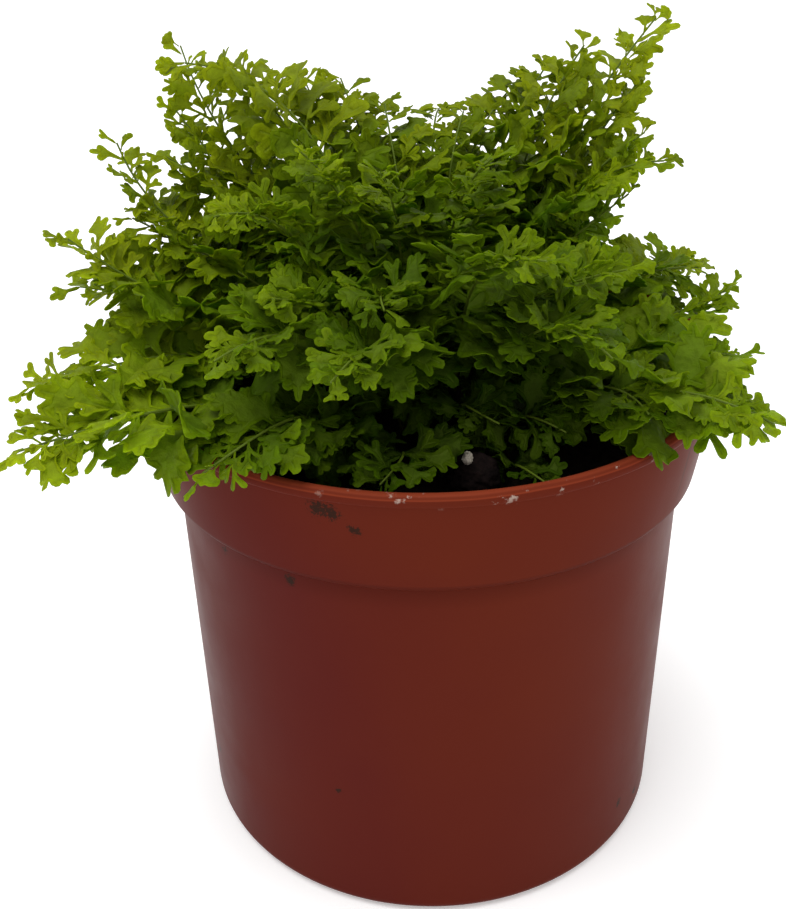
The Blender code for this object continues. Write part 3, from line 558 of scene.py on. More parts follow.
class Stance:
    """Where a leaflet leaves the midrib and how it is turned there."""

    def __init__(self, frond, share, side, u, length, lift, turn, facing=None):
        self.facing = facing
        self.frond = frond
        self.share = share
        self.side = side
        self.u = u
        self.length = length
        self.lift = lift
        self.turn = turn
        self.point, self.along, self.aside, self.up = frond.frame(share)

    def axes(self, bend=0.0):
        """(axis, across, normal) of the leaflet, bent this many degrees more."""
        forward = math.radians(FIRST_ANGLE + (LAST_ANGLE - FIRST_ANGLE) * self.u)
        tilt = math.radians(self.lift + bend)
        lean = self.along * math.cos(forward) + self.aside * self.side * math.sin(forward)
        if self.facing is not None:
            axis = lean * math.cos(tilt) + self.up * math.sin(tilt)
            normal = (self.facing - axis * self.facing.dot(axis)).normalized()
            return axis, normal.cross(axis), normal
        across = self.along * math.sin(forward) - self.aside * self.side * math.cos(forward)
        slope = math.degrees(math.asin(max(-1.0, min(1.0, self.along.z))))
        roll = PLAIN_ROLL + ROLL_WITH_SLOPE * max(0.0, slope) + self.turn
        roll = math.radians(roll - self.side * self.frond.twist)
        flat = across * math.cos(roll) - self.up * math.sin(roll)
        normal = self.up * math.cos(roll) + across * math.sin(roll)
        axis = lean * math.cos(tilt) + normal * math.sin(tilt)
        return axis, flat, normal * math.cos(tilt) - lean * math.sin(tilt)

    def foot(self):
        """Where the leaflet's axis starts, on the midrib's side."""
        return self.point + self.aside * self.side * self.frond.half_width(self.share)

    def corners(self, bend, scale):
        """A few points of the leaflet's plain sheet: its foot, its sides and its tip."""
        axis, flat, normal = self.axes(bend)
        foot = self.foot()
        size = self.length * scale
        points = [foot]
        for far, wide in SHEET_CORNERS:
            droop = -LEAFLET_DROOP * far * far - LEAFLET_FOLD * abs(wide)
            points.append(foot + (axis * far + flat * wide + normal * droop) * size)
        return points


def looseness(frond, place, u):
    """How freely a leaflet turns, from 0 high up on the outline to 1 low in the crowded middle."""
    if frond.name[-1].isdigit():
        return 1 - WHORL_CALM * u
    return min(1.0, max(0.0, (NEAT_ABOVE - place.z) / NEAT_RANGE)) * (1 - LEADER_CALM * u)


def filler_stances(frond):
    """The leaflets between those of the solid: neat near the top, loose and crowded lower down."""
    rng = random.Random(f"{SEED} fillers {frond.name}")
    share = BLADE_START
    side = rng.choice((1, -1))
    while share < BLADE_END:
        u = (share - BLADE_START) / (BLADE_END - BLADE_START)
        place = frond.point(share)
        loose = looseness(frond, place, u)
        shortest, longest, most_lift, stray_share, plain_share = (
            neat + more * loose
            for neat, more in (SHORTEST, LONGEST, MOST_LIFT, STRAY_SHARE, PLAIN_SHARE)
        )
        spacing = NEAT_SPACING + (LOOSE_SPACING - NEAT_SPACING) * min(1.0, SPACING_LOOSENS * loose)
        share += spacing * rng.uniform(*SPACING_JITTER) * (1 - TIP_CROWDING * u) / frond.length
        side = -side
        length = leaflet_length(frond.leaflet, u) * rng.uniform(shortest, longest)
        lift = LEAFLET_LIFT + rng.uniform(-1, 1) * most_lift
        outward = (place - Vector(HEART)).normalized()
        plain = Stance(frond, share, side, u, length, lift, rng.uniform(-SMALL_TURN, SMALL_TURN))
        stray = Vector((rng.uniform(-1, 1), rng.uniform(-1, 1), rng.uniform(-1, 1)))
        facing = plain.axes()[2] * plain_share + stray * stray_share
        facing += (outward * FACING_OUT + FACING_UP) * loose
        yield Stance(frond, share, side, u, length, lift, 0, facing.normalized())


def solid_tree(node):
    """A search tree of one CAD node's surface."""
    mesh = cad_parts[node].data
    points = [vert.co.copy() for vert in mesh.vertices]
    return BVHTree.FromPolygons(points, [tuple(face.vertices) for face in mesh.polygons])


def cad_stances(frond):
    """The leaflets of the frond's CAD solid: each stance with the bend and scale that fit it."""
    rng = random.Random(f"{SEED} leaflets {frond.name}")
    tree = solid_tree(frond.name)
    for index, (share, u) in enumerate(leaflet_places(frond)):
        side = 1 if index % 2 else -1
        length = leaflet_length(frond.leaflet, u) * (1 + rng.uniform(-LENGTH_RANGE, LENGTH_RANGE))
        lift = LEAFLET_LIFT + rng.uniform(-LIFT_RANGE, LIFT_RANGE)
        turn = rng.uniform(-TURN_RANGE, TURN_RANGE)
        stance = Stance(frond, share, side, u, length, lift, turn)
        best = None
        for scale in SHORTER:
            for bend in BENDS:
                off = 0.0
                for point in stance.corners(bend, scale)[1:]:
                    off = max(off, tree.find_nearest(point)[3])
                if best is None or off < best[0]:
                    best = (off, bend, scale)
        yield stance, *best[1:]


# The fine leaflet, drawn flat: rods along its veins, melted together into one lobed sheet


class Rod:
    """A rounded rod in the flat leaflet: start, end, two radii and the lobe it belongs to."""

    def __init__(self, start, end, start_radius, end_radius, lobe=-1):
        self.start = np.array(start, float)
        self.end = np.array(end, float)
        self.radii = (start_radius, end_radius)
        self.lobe = lobe

    def reach(self, x, y):
        """(distance from the rod's middle line, distance from its skin) of each point."""
        axis = self.end - self.start
        share = ((x - self.start[0]) * axis[0] + (y - self.start[1]) * axis[1]) / (axis @ axis)
        share = np.clip(share, 0, 1)
        away = np.hypot(x - self.start[0] - share * axis[0], y - self.start[1] - share * axis[1])
        return away, away - self.radii[0] - (self.radii[1] - self.radii[0]) * share


def melted(rods, x, y, melt):
    """Distance from the skin of all rods, blended softly where they meet."""
    total = None
    for rod in rods:
        skin = rod.reach(x, y)[1]
        if total is None:
            total = skin
            continue
        share = np.clip(0.5 + 0.5 * (total - skin) / melt, 0, 1)
        total = total * (1 - share) + skin * share - melt * share * (1 - share)
    return total


def outer_loop(field, xs, ys):
    """The longest closed loop of points where a field on a grid passes zero."""
    inside = field < 0
    spots = {}
    links = {}

    def spot(i, j, k, m):
        key = (i, j, k, m)
        if key not in spots:
            a, b = field[i, j], field[k, m]
            t = a / (a - b)
            spots[key] = (xs[i] + t * (xs[k] - xs[i]), ys[j] + t * (ys[m] - ys[j]))
        return key

    mixed = inside[:-1, :-1].astype(int) + inside[1:, :-1] + inside[:-1, 1:] + inside[1:, 1:]
    for i, j in zip(*np.nonzero((mixed > 0) & (mixed < 4))):
        ring = ((i, j), (i + 1, j), (i + 1, j + 1), (i, j + 1))
        ends = []
        for a, b in zip(ring, ring[1:] + ring[:1]):
            if inside[a] != inside[b]:
                low, high = sorted((a, b))
                ends.append(spot(*low, *high))
        if len(ends) == 4 and not inside[i, j]:
            ends = ends[1:] + ends[:1]
        for a, b in zip(ends[::2], ends[1::2]):
            links.setdefault(a, []).append(b)
            links.setdefault(b, []).append(a)
    longest = []
    left = set(links)
    while left:
        here = min(left)
        loop = [here]
        left.discard(here)
        while True:
            onward = [key for key in links[here] if key in left]
            if not onward:
                break
            here = onward[0]
            left.discard(here)
            loop.append(here)
        if len(loop) > len(longest):
            longest = loop
    return [spots[key] for key in longest]


def thin_out(points, detail):
    """Drops the points of an open chain that stand closer to the rest than the detail asks."""
    if len(points) < 3:
        return points
    chain = np.array(points)
    run = chain[-1] - chain[0]
    size = np.hypot(*run)
    if size < CLOSED:
        off = np.hypot(*(chain - chain[0]).T)
    else:
        off = np.abs(run[0] * (chain[:, 1] - chain[0, 1]) - run[1] * (chain[:, 0] - chain[0, 0])) / size
    worst = int(off.argmax())
    if off[worst] < detail:
        return [points[0], points[-1]]
    return thin_out(points[: worst + 1], detail)[:-1] + thin_out(points[worst:], detail)


class Pattern:
    """A leaflet's flat sheet, one unit long: points, triangles and rim, with what shapes it."""

    def __init__(self, rods, melt):
        ends = np.array([end for rod in rods for end in (rod.start, rod.end)])
        low, high = ends.min(axis=0) - GRID_MARGIN, ends.max(axis=0) + GRID_MARGIN
        xs = np.arange(low[0], high[0], GRID_STEP)
        ys = np.arange(low[1], high[1], GRID_STEP)
        field = melted(rods, xs[:, None], ys[None, :], melt)
        loop = outer_loop(field, xs, ys)
        half = len(loop) // 2
        points = thin_out(loop[: half + 1], OUTLINE_DETAIL)[:-1]
        points += thin_out(loop[half:] + loop[:1], OUTLINE_DETAIL)[:-1]
        edges = [(k, (k + 1) % len(points)) for k in range(len(points))]
        for rod in rods:
            start = len(points)
            steps = max(1, round(np.hypot(*(rod.end - rod.start)) / LATTICE_STEP))
            points += [tuple(rod.start + (rod.end - rod.start) * k / steps) for k in range(steps + 1)]
            edges += [(start + k, start + k + 1) for k in range(steps)]
        row = 0
        y = low[1]
        while y < high[1]:
            x = low[0] + (row % 2) * LATTICE_STEP / 2
            while x < high[0]:
                away = min(float(rod.reach(x, y)[0]) for rod in rods)
                depth = -melted(rods, x, y, melt)
                if depth > LATTICE_STEP * LATTICE_DEPTH and away > LATTICE_STEP * LATTICE_CLEAR:
                    points.append((x, y))
                x += LATTICE_STEP
            y += LATTICE_STEP * LATTICE_ROW
            row += 1
        made = delaunay_2d_cdt([Vector(point) for point in points], edges, [], 1, WELD)
        flat = np.array([tuple(vert) for vert in made[0]])
        faces = np.array([face for face in made[2]])
        a, b, c = (flat[faces[:, k]] for k in range(3))
        turn = (b[:, 0] - a[:, 0]) * (c[:, 1] - a[:, 1]) - (b[:, 1] - a[:, 1]) * (c[:, 0] - a[:, 0])
        faces[turn < 0] = faces[turn < 0][:, ::-1]
        faces = faces[np.abs(turn) > SLIVER]
        used = np.unique(faces)
        order = np.full(len(flat), -1)
        order[used] = np.arange(len(used))
        flat, faces = flat[used], order[faces]
        self.along, self.across = flat[:, 0], flat[:, 1]
        self.triangles = faces
        sides = dict.fromkeys(pair for face in faces for pair in zip(face, np.roll(face, -1)))
        self.rim = np.array([pair for pair in sides if pair[::-1] not in sides])
        away = np.array([rod.reach(*flat.T)[0] for rod in rods])
        self.vein = away.min(axis=0)
        self.lobe = np.array([rod.lobe for rod in rods])[away.argmin(axis=0)]
        self.edge = np.clip(1 + melted(rods, *flat.T, melt) / EDGE_DEPTH, 0, 1)


def polar(start, angle, length, side):
    """The point at this angle and length from the start, mirrored where the side is -1."""
    turn = math.radians(angle)
    return (start[0] + length * math.cos(turn), start[1] + side * length * math.sin(turn))


def spread_out(number, count):
    """Where one of a few stands among them, from -1 to 1, or 0 when it is alone."""
    return 0.0 if count == 1 else 2 * number / (count - 1) - 1


def branch(rods, rng, start, angle, side, length, stalk, waist, tooth, teeth, spread, lobe):
    """One lobe: a stalk that widens, then a few blunt teeth side by side."""
    knee = polar(start, angle, length * stalk, side)
    rods.append(Rod(start, knee, waist * STALK_FOOT, waist, lobe))
    for k in range(teeth):
        share = spread_out(k, teeth)
        turn = angle - share * spread + rng.uniform(-ANGLE_JITTER, ANGLE_JITTER)
        far = length * (1 - stalk) * (1 - OUTER_TEETH_LOSS * share * share)
        end = polar(knee, turn, far * rng.uniform(*TOOTH_LENGTHS), side)
        rods.append(Rod(knee, end, waist * TOOTH_FOOT, tooth * rng.uniform(*TOOTH_SIZES), lobe))


def spined_rods(rng, pairs, first, last, size, stalk, waist, tooth, teeth, spread, spine, lean):
    """A whole leaflet: a spine with lobes on both sides and one at its end."""
    knee = (first * SPINE_FOOT, 0.0)
    rods = [
        Rod((0.0, 0.0), knee, SPINE_FOOT_WIDTH, spine * SPINE_FOOT),
        Rod(knee, (last, 0.0), spine * SPINE_FOOT, spine),
    ]
    gap = (last - first) / max(1, pairs - 1)
    lobe = 0
    for side in (1, -1):
        for k in range(pairs):
            share = k / max(1, pairs - 1)
            back = OTHER_SIDE_SHIFT if side < 0 else 0.0
            foot = first + (gap * (k - back) + rng.uniform(-LOBE_SHIFT, LOBE_SHIFT))
            angle = lean - LOBES_CLOSE * share + rng.uniform(-ANGLE_JITTER, ANGLE_JITTER)
            loss = FIRST_LOBE_LOSS if k == 0 else 0.0
            long = size * (1 - LOBE_LOSS * share**LOBE_LOSS_POWER - loss) * rng.uniform(*LOBE_LENGTHS)
            count = teeth if k < pairs - 1 else max(2, teeth - 1)
            branch(rods, rng, (foot, 0.0), angle, side, long, stalk, waist, tooth, count, spread, lobe)
            lobe += 1
    end = (END_LOBE_STALK, waist, tooth, END_LOBE_TEETH, END_LOBE_SPREAD, lobe)
    branch(rods, rng, (last, 0.0), 0, 1, 1.0 - last - tooth, *end)
    return rods


def wedge_rods(rng, stalk, lobes, lean, size, waist, tooth, teeth, spread):
    """A wedge that opens from its stalk into a few lobes, each with blunt teeth."""
    hub = (stalk, 0.0)
    rods = [Rod((0.0, 0.0), hub, *WEDGE_STALK_WIDTHS)]
    for k in range(lobes):
        share = spread_out(k, lobes)
        long = size * (1 - SIDE_LOBES_LOSS * abs(share)) * rng.uniform(*WEDGE_LENGTHS)
        turn = share * lean + rng.uniform(-ANGLE_JITTER, ANGLE_JITTER)
        branch(rods, rng, hub, turn, 1, long, WEDGE_LOBE_STALK, waist, tooth, teeth, spread, k)
    return rods


# The patterns in the order in which they are drawn: how often a round is drawn, and in it each
# pattern's kind, how far its rods melt together, and its values. Lengths are shares of the
# leaflet's, and angles are in degrees. After the melt, a spined leaflet has its pairs of lobes, the
# first and the last pair's place, lobe size, stalk, waist, tooth size, teeth, their spread, the
# spine's half width and the lobes' lean. A wedge has its stalk, lobes, their lean, size, waist,
# tooth size, teeth and their spread.
PATTERN_ROUNDS = (
    (
        6,
        ("broad", spined_rods, 0.036, (3, 0.20, 0.62, 0.40, 0.52, 0.060, 0.056, 2, 28, 0.060, 52)),
        ("medium", spined_rods, 0.036, (2, 0.24, 0.52, 0.46, 0.50, 0.060, 0.064, 2, 28, 0.050, 48)),
        ("spray", spined_rods, 0.032, (2, 0.28, 0.60, 0.42, 0.44, 0.028, 0.074, 2, 33, 0.022, 50)),
    ),
    (
        4,
        ("broad", spined_rods, 0.030, (3, 0.22, 0.62, 0.37, 0.50, 0.062, 0.052, 3, 36, 0.060, 50)),
        ("lacy", wedge_rods, 0.040, (0.20, 3, 46, 0.70, 0.056, 0.080, 2, 29)),
        ("lacy", spined_rods, 0.038, (2, 0.22, 0.52, 0.46, 0.46, 0.046, 0.074, 2, 30, 0.034, 48)),
        ("spray", spined_rods, 0.030, (3, 0.22, 0.68, 0.34, 0.42, 0.028, 0.062, 2, 32, 0.022, 54)),
    ),
    (
        2,
        ("lacy", wedge_rods, 0.045, (0.24, 2, 29, 0.68, 0.060, 0.088, 2, 29)),
        ("fan", wedge_rods, 0.050, (0.30, 2, 28, 0.56, 0.070, 0.105, 2, 29)),
        ("fan", wedge_rods, 0.055, (0.14, 1, 0, 0.78, 0.100, 0.120, 3, 42)),
        ("fan", wedge_rods, 0.050, (0.18, 1, 0, 0.72, 0.085, 0.120, 2, 32)),
    ),
)


def draw_patterns(rng):
    """The kinds of leaflet: broad and parsley-like, sprays of small fans, and single fans."""
    patterns = {}
    for times, *kinds in PATTERN_ROUNDS:
        for _ in range(times):
            for kind, make_rods, melt, values in kinds:
                patterns.setdefault(kind, []).append(Pattern(make_rods(rng, *values), melt))
    return patterns


def choose_pattern(patterns, stance, rng):
    """Broad leaflets low on the plant, sprays of small fans high up, and single fans at the tips."""
    height = stance.point.z + rng.uniform(-HEIGHT_JITTER, HEIGHT_JITTER)
    if stance.length < FAN_UNDER or stance.u > FAN_BEYOND:
        kind = "fan"
    elif height > SPRAY_FROM and stance.length > SPRAY_OVER:
        kind = "spray" if rng.random() < HIGH_USUAL else "lacy"
    elif height > LACY_FROM or stance.u > LACY_BEYOND:
        kind = "lacy" if rng.random() < HIGH_USUAL else "medium"
    elif stance.length < MEDIUM_UNDER:
        kind = "medium"
    else:
        kind = "broad" if rng.random() < LOW_USUAL else "medium"
    return rng.choice(patterns[kind])


class Foliage:
    """The sheet of one frond's leaflets as it grows, in arrays."""

    def __init__(self):
        self.points = []
        self.triangles = []
        self.rims = []
        self.leaflet_uv = []
        self.tone_uv = []
        self.edges = []
        self.count = 0

    def add(self, stance, bend, scale, pattern, rng):
        """Lays a pattern out at a stance, bowed, folded and ruffled."""
        axis, flat, normal = (np.array(v) for v in stance.axes(bend))
        x, y, e = pattern.along, pattern.across, pattern.edge
        fold = rng.uniform(*FOLD_RANGE)
        droop = LEAFLET_DROOP + rng.uniform(*DROOP_RANGE)
        tilts = np.array([rng.uniform(-LOBE_TILT, LOBE_TILT) for _ in range(MOST_LOBES)] + [0.0])
        keel = rng.uniform(*KEEL_RANGE)
        ruffle = rng.uniform(*RUFFLE_RANGE)
        phase = rng.uniform(0, math.tau)
        z = -droop * x * x - fold * np.abs(y) + tilts[pattern.lobe] * np.abs(y) + keel * pattern.vein
        z += ruffle * e * np.sin(np.arctan2(y, x - RUFFLE_MIDDLE) * RUFFLES + phase)
        bow = rng.uniform(-SHEET_BOW, SHEET_BOW)
        twist = rng.uniform(-SHEET_TWIST, SHEET_TWIST) * x
        side = y * np.cos(twist) - z * np.sin(twist) + bow * x * x
        lifted = y * np.sin(twist) + z * np.cos(twist)
        size = stance.length * scale
        spots = np.array(stance.foot())[None, :]
        spots = spots + size * (x[:, None] * axis + side[:, None] * flat + lifted[:, None] * normal)
        self.points.append(spots)
        self.triangles.append(pattern.triangles + self.count)
        self.rims.append(pattern.rim + self.count)
        self.leaflet_uv.append(np.stack([pattern.vein, e], axis=1))
        self.tone_uv.append(np.tile((rng.random(), stance.u), (len(x), 1)))
        self.edges.append(e)
        self.count += len(x)

    def solid(self):
        """(points, triangles, leaflet uv, tone uv) of the sheet made thin and solid."""
        points = np.concatenate(self.points)
        triangles = np.concatenate(self.triangles)
        rims = np.concatenate(self.rims)
        a, b, c = (points[triangles[:, k]] for k in range(3))
        faces = np.cross(b - a, c - a)
        normals = np.zeros_like(points)
        for k in range(3):
            np.add.at(normals, triangles[:, k], faces)
        normals /= np.maximum(np.linalg.norm(normals, axis=1, keepdims=True), 1e-12)
        half = 0.5 * BLADE_THICKNESS * (1 - EDGE_THINNING * np.concatenate(self.edges))[:, None]
        n = len(points)
        both = np.concatenate([points + normals * half, points - normals * half])
        r0, r1 = rims[:, 0], rims[:, 1]
        walls = np.concatenate(
            [np.stack([r1, r0, r0 + n], axis=1), np.stack([r1, r0 + n, r1 + n], axis=1)]
        )
        made = np.concatenate([triangles, triangles[:, ::-1] + n, walls])
        leaflet_uv = np.concatenate(self.leaflet_uv * 2)
        tone_uv = np.concatenate(self.tone_uv * 2)
        return both, made, leaflet_uv, tone_uv


def rachis(frond):
    """(points, triangles) of the stem and midrib as a round, tapered rod."""
    points = []
    triangles = []
    for step in range(RACHIS_STEPS + 1):
        share = step / RACHIS_STEPS
        origin, _, aside, up = frond.frame(share)
        radius = frond.half_width(share) * (RACHIS_WIDTH - RACHIS_TAPER * share)
        for side in range(RACHIS_SIDES):
            angle = math.tau * side / RACHIS_SIDES
            points.append(origin + (aside * math.cos(angle) + up * math.sin(angle)) * radius)
    for step in range(RACHIS_STEPS):
        for side in range(RACHIS_SIDES):
            after = (side + 1) % RACHIS_SIDES
            a, b = step * RACHIS_SIDES + side, step * RACHIS_SIDES + after
            c, d = a + RACHIS_SIDES, b + RACHIS_SIDES
            triangles += [(a, b, d), (a, d, c)]
    last = RACHIS_STEPS * RACHIS_SIDES
    for side in range(1, RACHIS_SIDES - 1):
        triangles.append((0, side + 1, side))
        triangles.append((last, last + side, last + side + 1))
    return np.array(points), np.array(triangles)


def fill_mesh(name, points, triangles, finishes, maps):
    """A mesh from arrays; finishes gives each triangle's material number."""
    mesh = bpy.data.meshes.new(name)
    mesh.vertices.add(len(points))
    mesh.vertices.foreach_set("co", points.astype(np.float32).ravel())
    mesh.loops.add(3 * len(triangles))
    mesh.loops.foreach_set("vertex_index", triangles.astype(np.int32).ravel())
    mesh.polygons.add(len(triangles))
    mesh.polygons.foreach_set("loop_start", np.arange(0, 3 * len(triangles), 3, dtype=np.int32))
    mesh.polygons.foreach_set("material_index", finishes.astype(np.int32))
    for map_name, values in maps.items():
        layer = mesh.uv_layers.new(name=map_name)
        layer.data.foreach_set("uv", values[triangles.ravel()].astype(np.float32).ravel())
    mesh.update(calc_edges=True)
    mesh.validate()
    mesh.shade_smooth()
    mesh.set_sharp_from_angle(angle=math.radians(LEAF_EDGE_ANGLE))
    return mesh


def build_frond(frond, foliage, leaf, stem):
    """One fine frond: its leaflets and its round rachis as one piece."""
    points, triangles, leaflet_uv, tone_uv = foliage.solid()
    rod, rod_triangles = rachis(frond)
    low, high = (np.array(corner) for corner in CAD_BOX)
    points = np.clip(points, low, high)
    steps = np.repeat(np.arange(RACHIS_STEPS + 1) / RACHIS_STEPS, RACHIS_SIDES)
    around = np.tile(np.arange(RACHIS_SIDES) / RACHIS_SIDES, RACHIS_STEPS + 1)
    rod_uv = np.stack([around, steps], axis=1)
    every = np.concatenate([points, rod])
    faces = np.concatenate([triangles, rod_triangles + len(points)])
    kinds = np.concatenate([np.zeros(len(triangles)), np.ones(len(rod_triangles))])
    maps = {
        "leaflet": np.concatenate([leaflet_uv, rod_uv]),
        "tone": np.concatenate([tone_uv, rod_uv]),
    }
    name = frond.name.replace("frond_", "leaves_")
    piece = add_piece(name, fill_mesh(name, every, faces, kinds, maps), leaf, stem)
    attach(piece, "root")
    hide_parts(frond.name)


def grow_plant(leaf, stem):
    """Every frond with its fine leaflets: those of the CAD solids, and small ones between them."""
    fronds = plan_fronds()
    patterns = draw_patterns(random.Random(SEED + 3))
    taken = [list(cad_stances(frond)) for frond in fronds]
    sheets = [[stance.corners(*fit) for stance, *fit in stances] for stances in taken]
    placed = []
    for index, frond in enumerate(fronds):
        points, triangles = [], []
        for number, rows in enumerate(sheets):
            for corners in rows if number != index else ():
                start = len(points)
                points += corners
                triangles += [tuple(start + i for i in tri) for tri in SHEET_TRIANGLES]
        around = BVHTree.FromPolygons(points, triangles)
        stances = taken[index].copy()
        for filler in filler_stances(frond):
            for bend in BENDS:
                corners = filler.corners(bend, 1.0)
                if not around.overlap(BVHTree.FromPolygons(corners, SHEET_TRIANGLES)):
                    break
            else:
                bend = 0
            stances.append((filler, bend, 1.0))
        placed.append(stances)
    for frond, stances in zip(fronds, placed):
        rng = random.Random(f"{SEED} forms {frond.name}")
        foliage = Foliage()
        for stance, bend, scale in stances:
            foliage.add(stance, bend, scale, choose_pattern(patterns, stance, rng), rng)
        bud = Stance(frond, 1.0, 1, 1.0, leaflet_length(frond.leaflet, 1.0) * BUD_LENGTH, 0, 0)
        foliage.add(bud, 0, 1.0, rng.choice(patterns["fan"]), rng)
        build_frond(frond, foliage, leaf, stem)


# Finishes. A ramp is (low, high), or (low, high, value at low, value at high), a noise is (scale per
# metre, detail, roughness), and colours are linear.

# Leaves
LEAF_DEEP = (0.055, 0.121, 0.0010)
LEAF_FRESH = (0.178, 0.232, 0.0022)
LEAF_YOUNG = (0.290, 0.360, 0.0080)
LEAF_VEIN = (0.22, 0.32, 0.05)
LEAF_GLOW = (1.45, 1.52, 1.10)
LEAF_SHEEN = (0.90, 1.0, 0.25)
LEAF_ROUGHNESS = 0.52
GREEN_SPECULAR = 0.20
LIGHT_THROUGH = 0.46
LEAF_BUMP = (0.60, 0.0010)
PATCHES = (90.0, 3.0)
MOTTLE = (480.0, 4.0, 0.65)
RIPPLE = (230.0, 3.0, 0.6)
# Partly painted shade: leaves are paler away from the crown's middle, partly for the young growth there
# and partly as painted shade deeper inside
OUTER = (0.040, 0.100)
OUTER_SHARE = 0.70
CHANCE_SHARE = 0.40
PATCH_SHARE = 0.30
TO_FRESH = (0.20, 0.85)
TO_YOUNG = (0.80, 1.70)
# Painted highlight: how much lighter the leaflets' rims are painted
PAINTED_RIM_HIGHLIGHT = (0.35, 1.0, 0.0, 0.10)
# Painted shade: how much darker the leaves are painted round the shaded gap at the front
PAINTED_SHADE_DARKENING = (0.014, 0.062, 0.38, 1.54)
# Painted shade: the leaves are painted a little darker towards the top
PAINTED_TOP_SHADE = (0.120, 0.165, 1.0, 0.90)
RIPPLE_LIGHT = (0.32, 0.68, 0.88, 1.12)
FLECK_LIGHT = (0.3, 0.7, 0.80, 1.18)
# Painted shade: less red and more green round the shaded gap at the front
PAINTED_SHADE_RED = (0.020, 0.080, 0.81, 1.06)
PAINTED_SHADE_GREEN = (0.020, 0.080, 1.07, 0.98)
VEIN_WIDTH = (0.004, 0.016, 1.0, 0.0)
VEIN_SHARE = 0.16
VEIN_DEPTH = 0.25
PUCKERS = (520.0, 4.0, 0.6)
PUCKER_HEIGHT = 0.8
FOLDS = (240.0, 2.0)
FOLD_HEIGHT = 1.2

# Stems
STEM_BROWN = (0.050, 0.030, 0.010)
STEM_GREEN = (0.100, 0.150, 0.008)
STEM_ROUGHNESS = 0.55
STEM_BLOTCHES = (300.0, 3.0)
BLOTCH_SHARE = 0.3
TO_GREEN = (0.20, 0.55)

# Pot
# Painted light: the plastic is painted darker on the left and lighter and more orange on the right
POT_PAINTED_DIM_LEFT = (0.086, 0.0112, 0.0088)
POT_PAINTED_LIT_RIGHT = (0.112, 0.0172, 0.0072)
POT_CLOUDED = (0.097, 0.0138, 0.0078)
# Painted shadow: the colour of the band under the collar
POT_COLLAR_SHADOW = (0.050, 0.006, 0.003)
POT_LIP = (0.200, 0.034, 0.014)
POT_SCUFF = (0.52, 0.43, 0.36)
# The colour of the earth smudges, also used for the painted shade of a crease
POT_DIRT_AND_CREASE_SHADE = (0.018, 0.012, 0.008)
COLLAR_SHADOW_SHARE = 0.45
SCUFF_SHARE = 0.75
DIRT_AND_CREASE_SHARE = 0.85
POT_ROUGHNESS = 0.34
POT_SPECULAR = 0.012
POT_BUMP = (0.10, 0.0001)
POT_GRAIN = (1500.0, 2.0)
POT_CLOUDS = (14.0, 3.0)
TO_CLOUDED = (0.3, 0.7)
POT_WEAR = (60.0, 4.0)
WEAR_ROUGHNESS = (0.3, 0.7, 0.30, 0.40)
WANDER = (45.0, 2.0)
WANDER_RANGE = 0.0008
LIP_GROOVE_RISE = 0.0005
LIP_GROOVE = (0.0001, 0.0003, 0.35, 1.0)
LIP_EDGE = (LIP_EDGE_FOOT, LIP_EDGE_FOOT + 0.0002)
NEAR_LIP = (POT_HEIGHT - LIP_HEIGHT - 0.0006, POT_HEIGHT - 0.0006)
SCUFF_PATCHES = (240.0, 5.0, 0.7)
SCUFF_EDGE = (0.60, 0.66)
SCUFFED_SIDE = (0.030, 0.060)
SPECKS = (520.0, 1.0)
SPECK_EDGE = (0.865, 0.880)
SPECK_SHARE = 0.5
CRUMBLE = (1500.0, 3.0, 0.8)
CRUMBLE_SHARE = 3.2
SMUDGE_EDGE = (-1.10, -0.85, 1.0, 0.0)
# Painted shade of a crease: a thin dark line on the collar's right, where the moulding has no crease
CREASE_ACROSS = (0.5432, 0.8396)
CREASE_EDGE = (0.0001, 0.0007, 0.4, 0.0)
CREASE_FROM = (0.020, 0.030)
CREASE_ABOVE = (0.088, 0.096)
# Painted light: the slanted, clouded edge between the darker left and the lighter right
SIDE_CLOUDS = (16.0, 3.0)
SIDE_CLOUD_RANGE = 0.08
SIDE_SLANT = 0.35
SIDE_EDGE = (-0.010, 0.035)
COLLAR_FOOT = POT_HEIGHT - COLLAR_HEIGHT
# Painted shadow: where the band under the collar fades in below and ends at the collar's foot
COLLAR_SHADOW_FROM = (COLLAR_FOOT - 0.0060, COLLAR_FOOT - 0.0010)
COLLAR_SHADOW_TO = (COLLAR_FOOT + 0.0010, COLLAR_FOOT + 0.0016, 1.0, 0.0)

# Earth, bark and perlite: dark and light colour, scale of the grains, roughness
COMPOST_EARTH = ((0.004, 0.003, 0.002), (0.020, 0.013, 0.009), 700.0, 0.95)
BARK_SKIN = ((0.004, 0.0025, 0.0025), (0.016, 0.009, 0.008), 500.0, 0.95)
PERLITE_SKIN = ((0.42, 0.37, 0.30), (0.72, 0.66, 0.56), 900.0, 0.8)
GRAIN_DETAIL = (6.0, 0.7)
GRAIN_EDGE = (0.35, 0.70)
EARTH_SPECULAR = 0.10
EARTH_BUMP = (0.6, 0.0006)


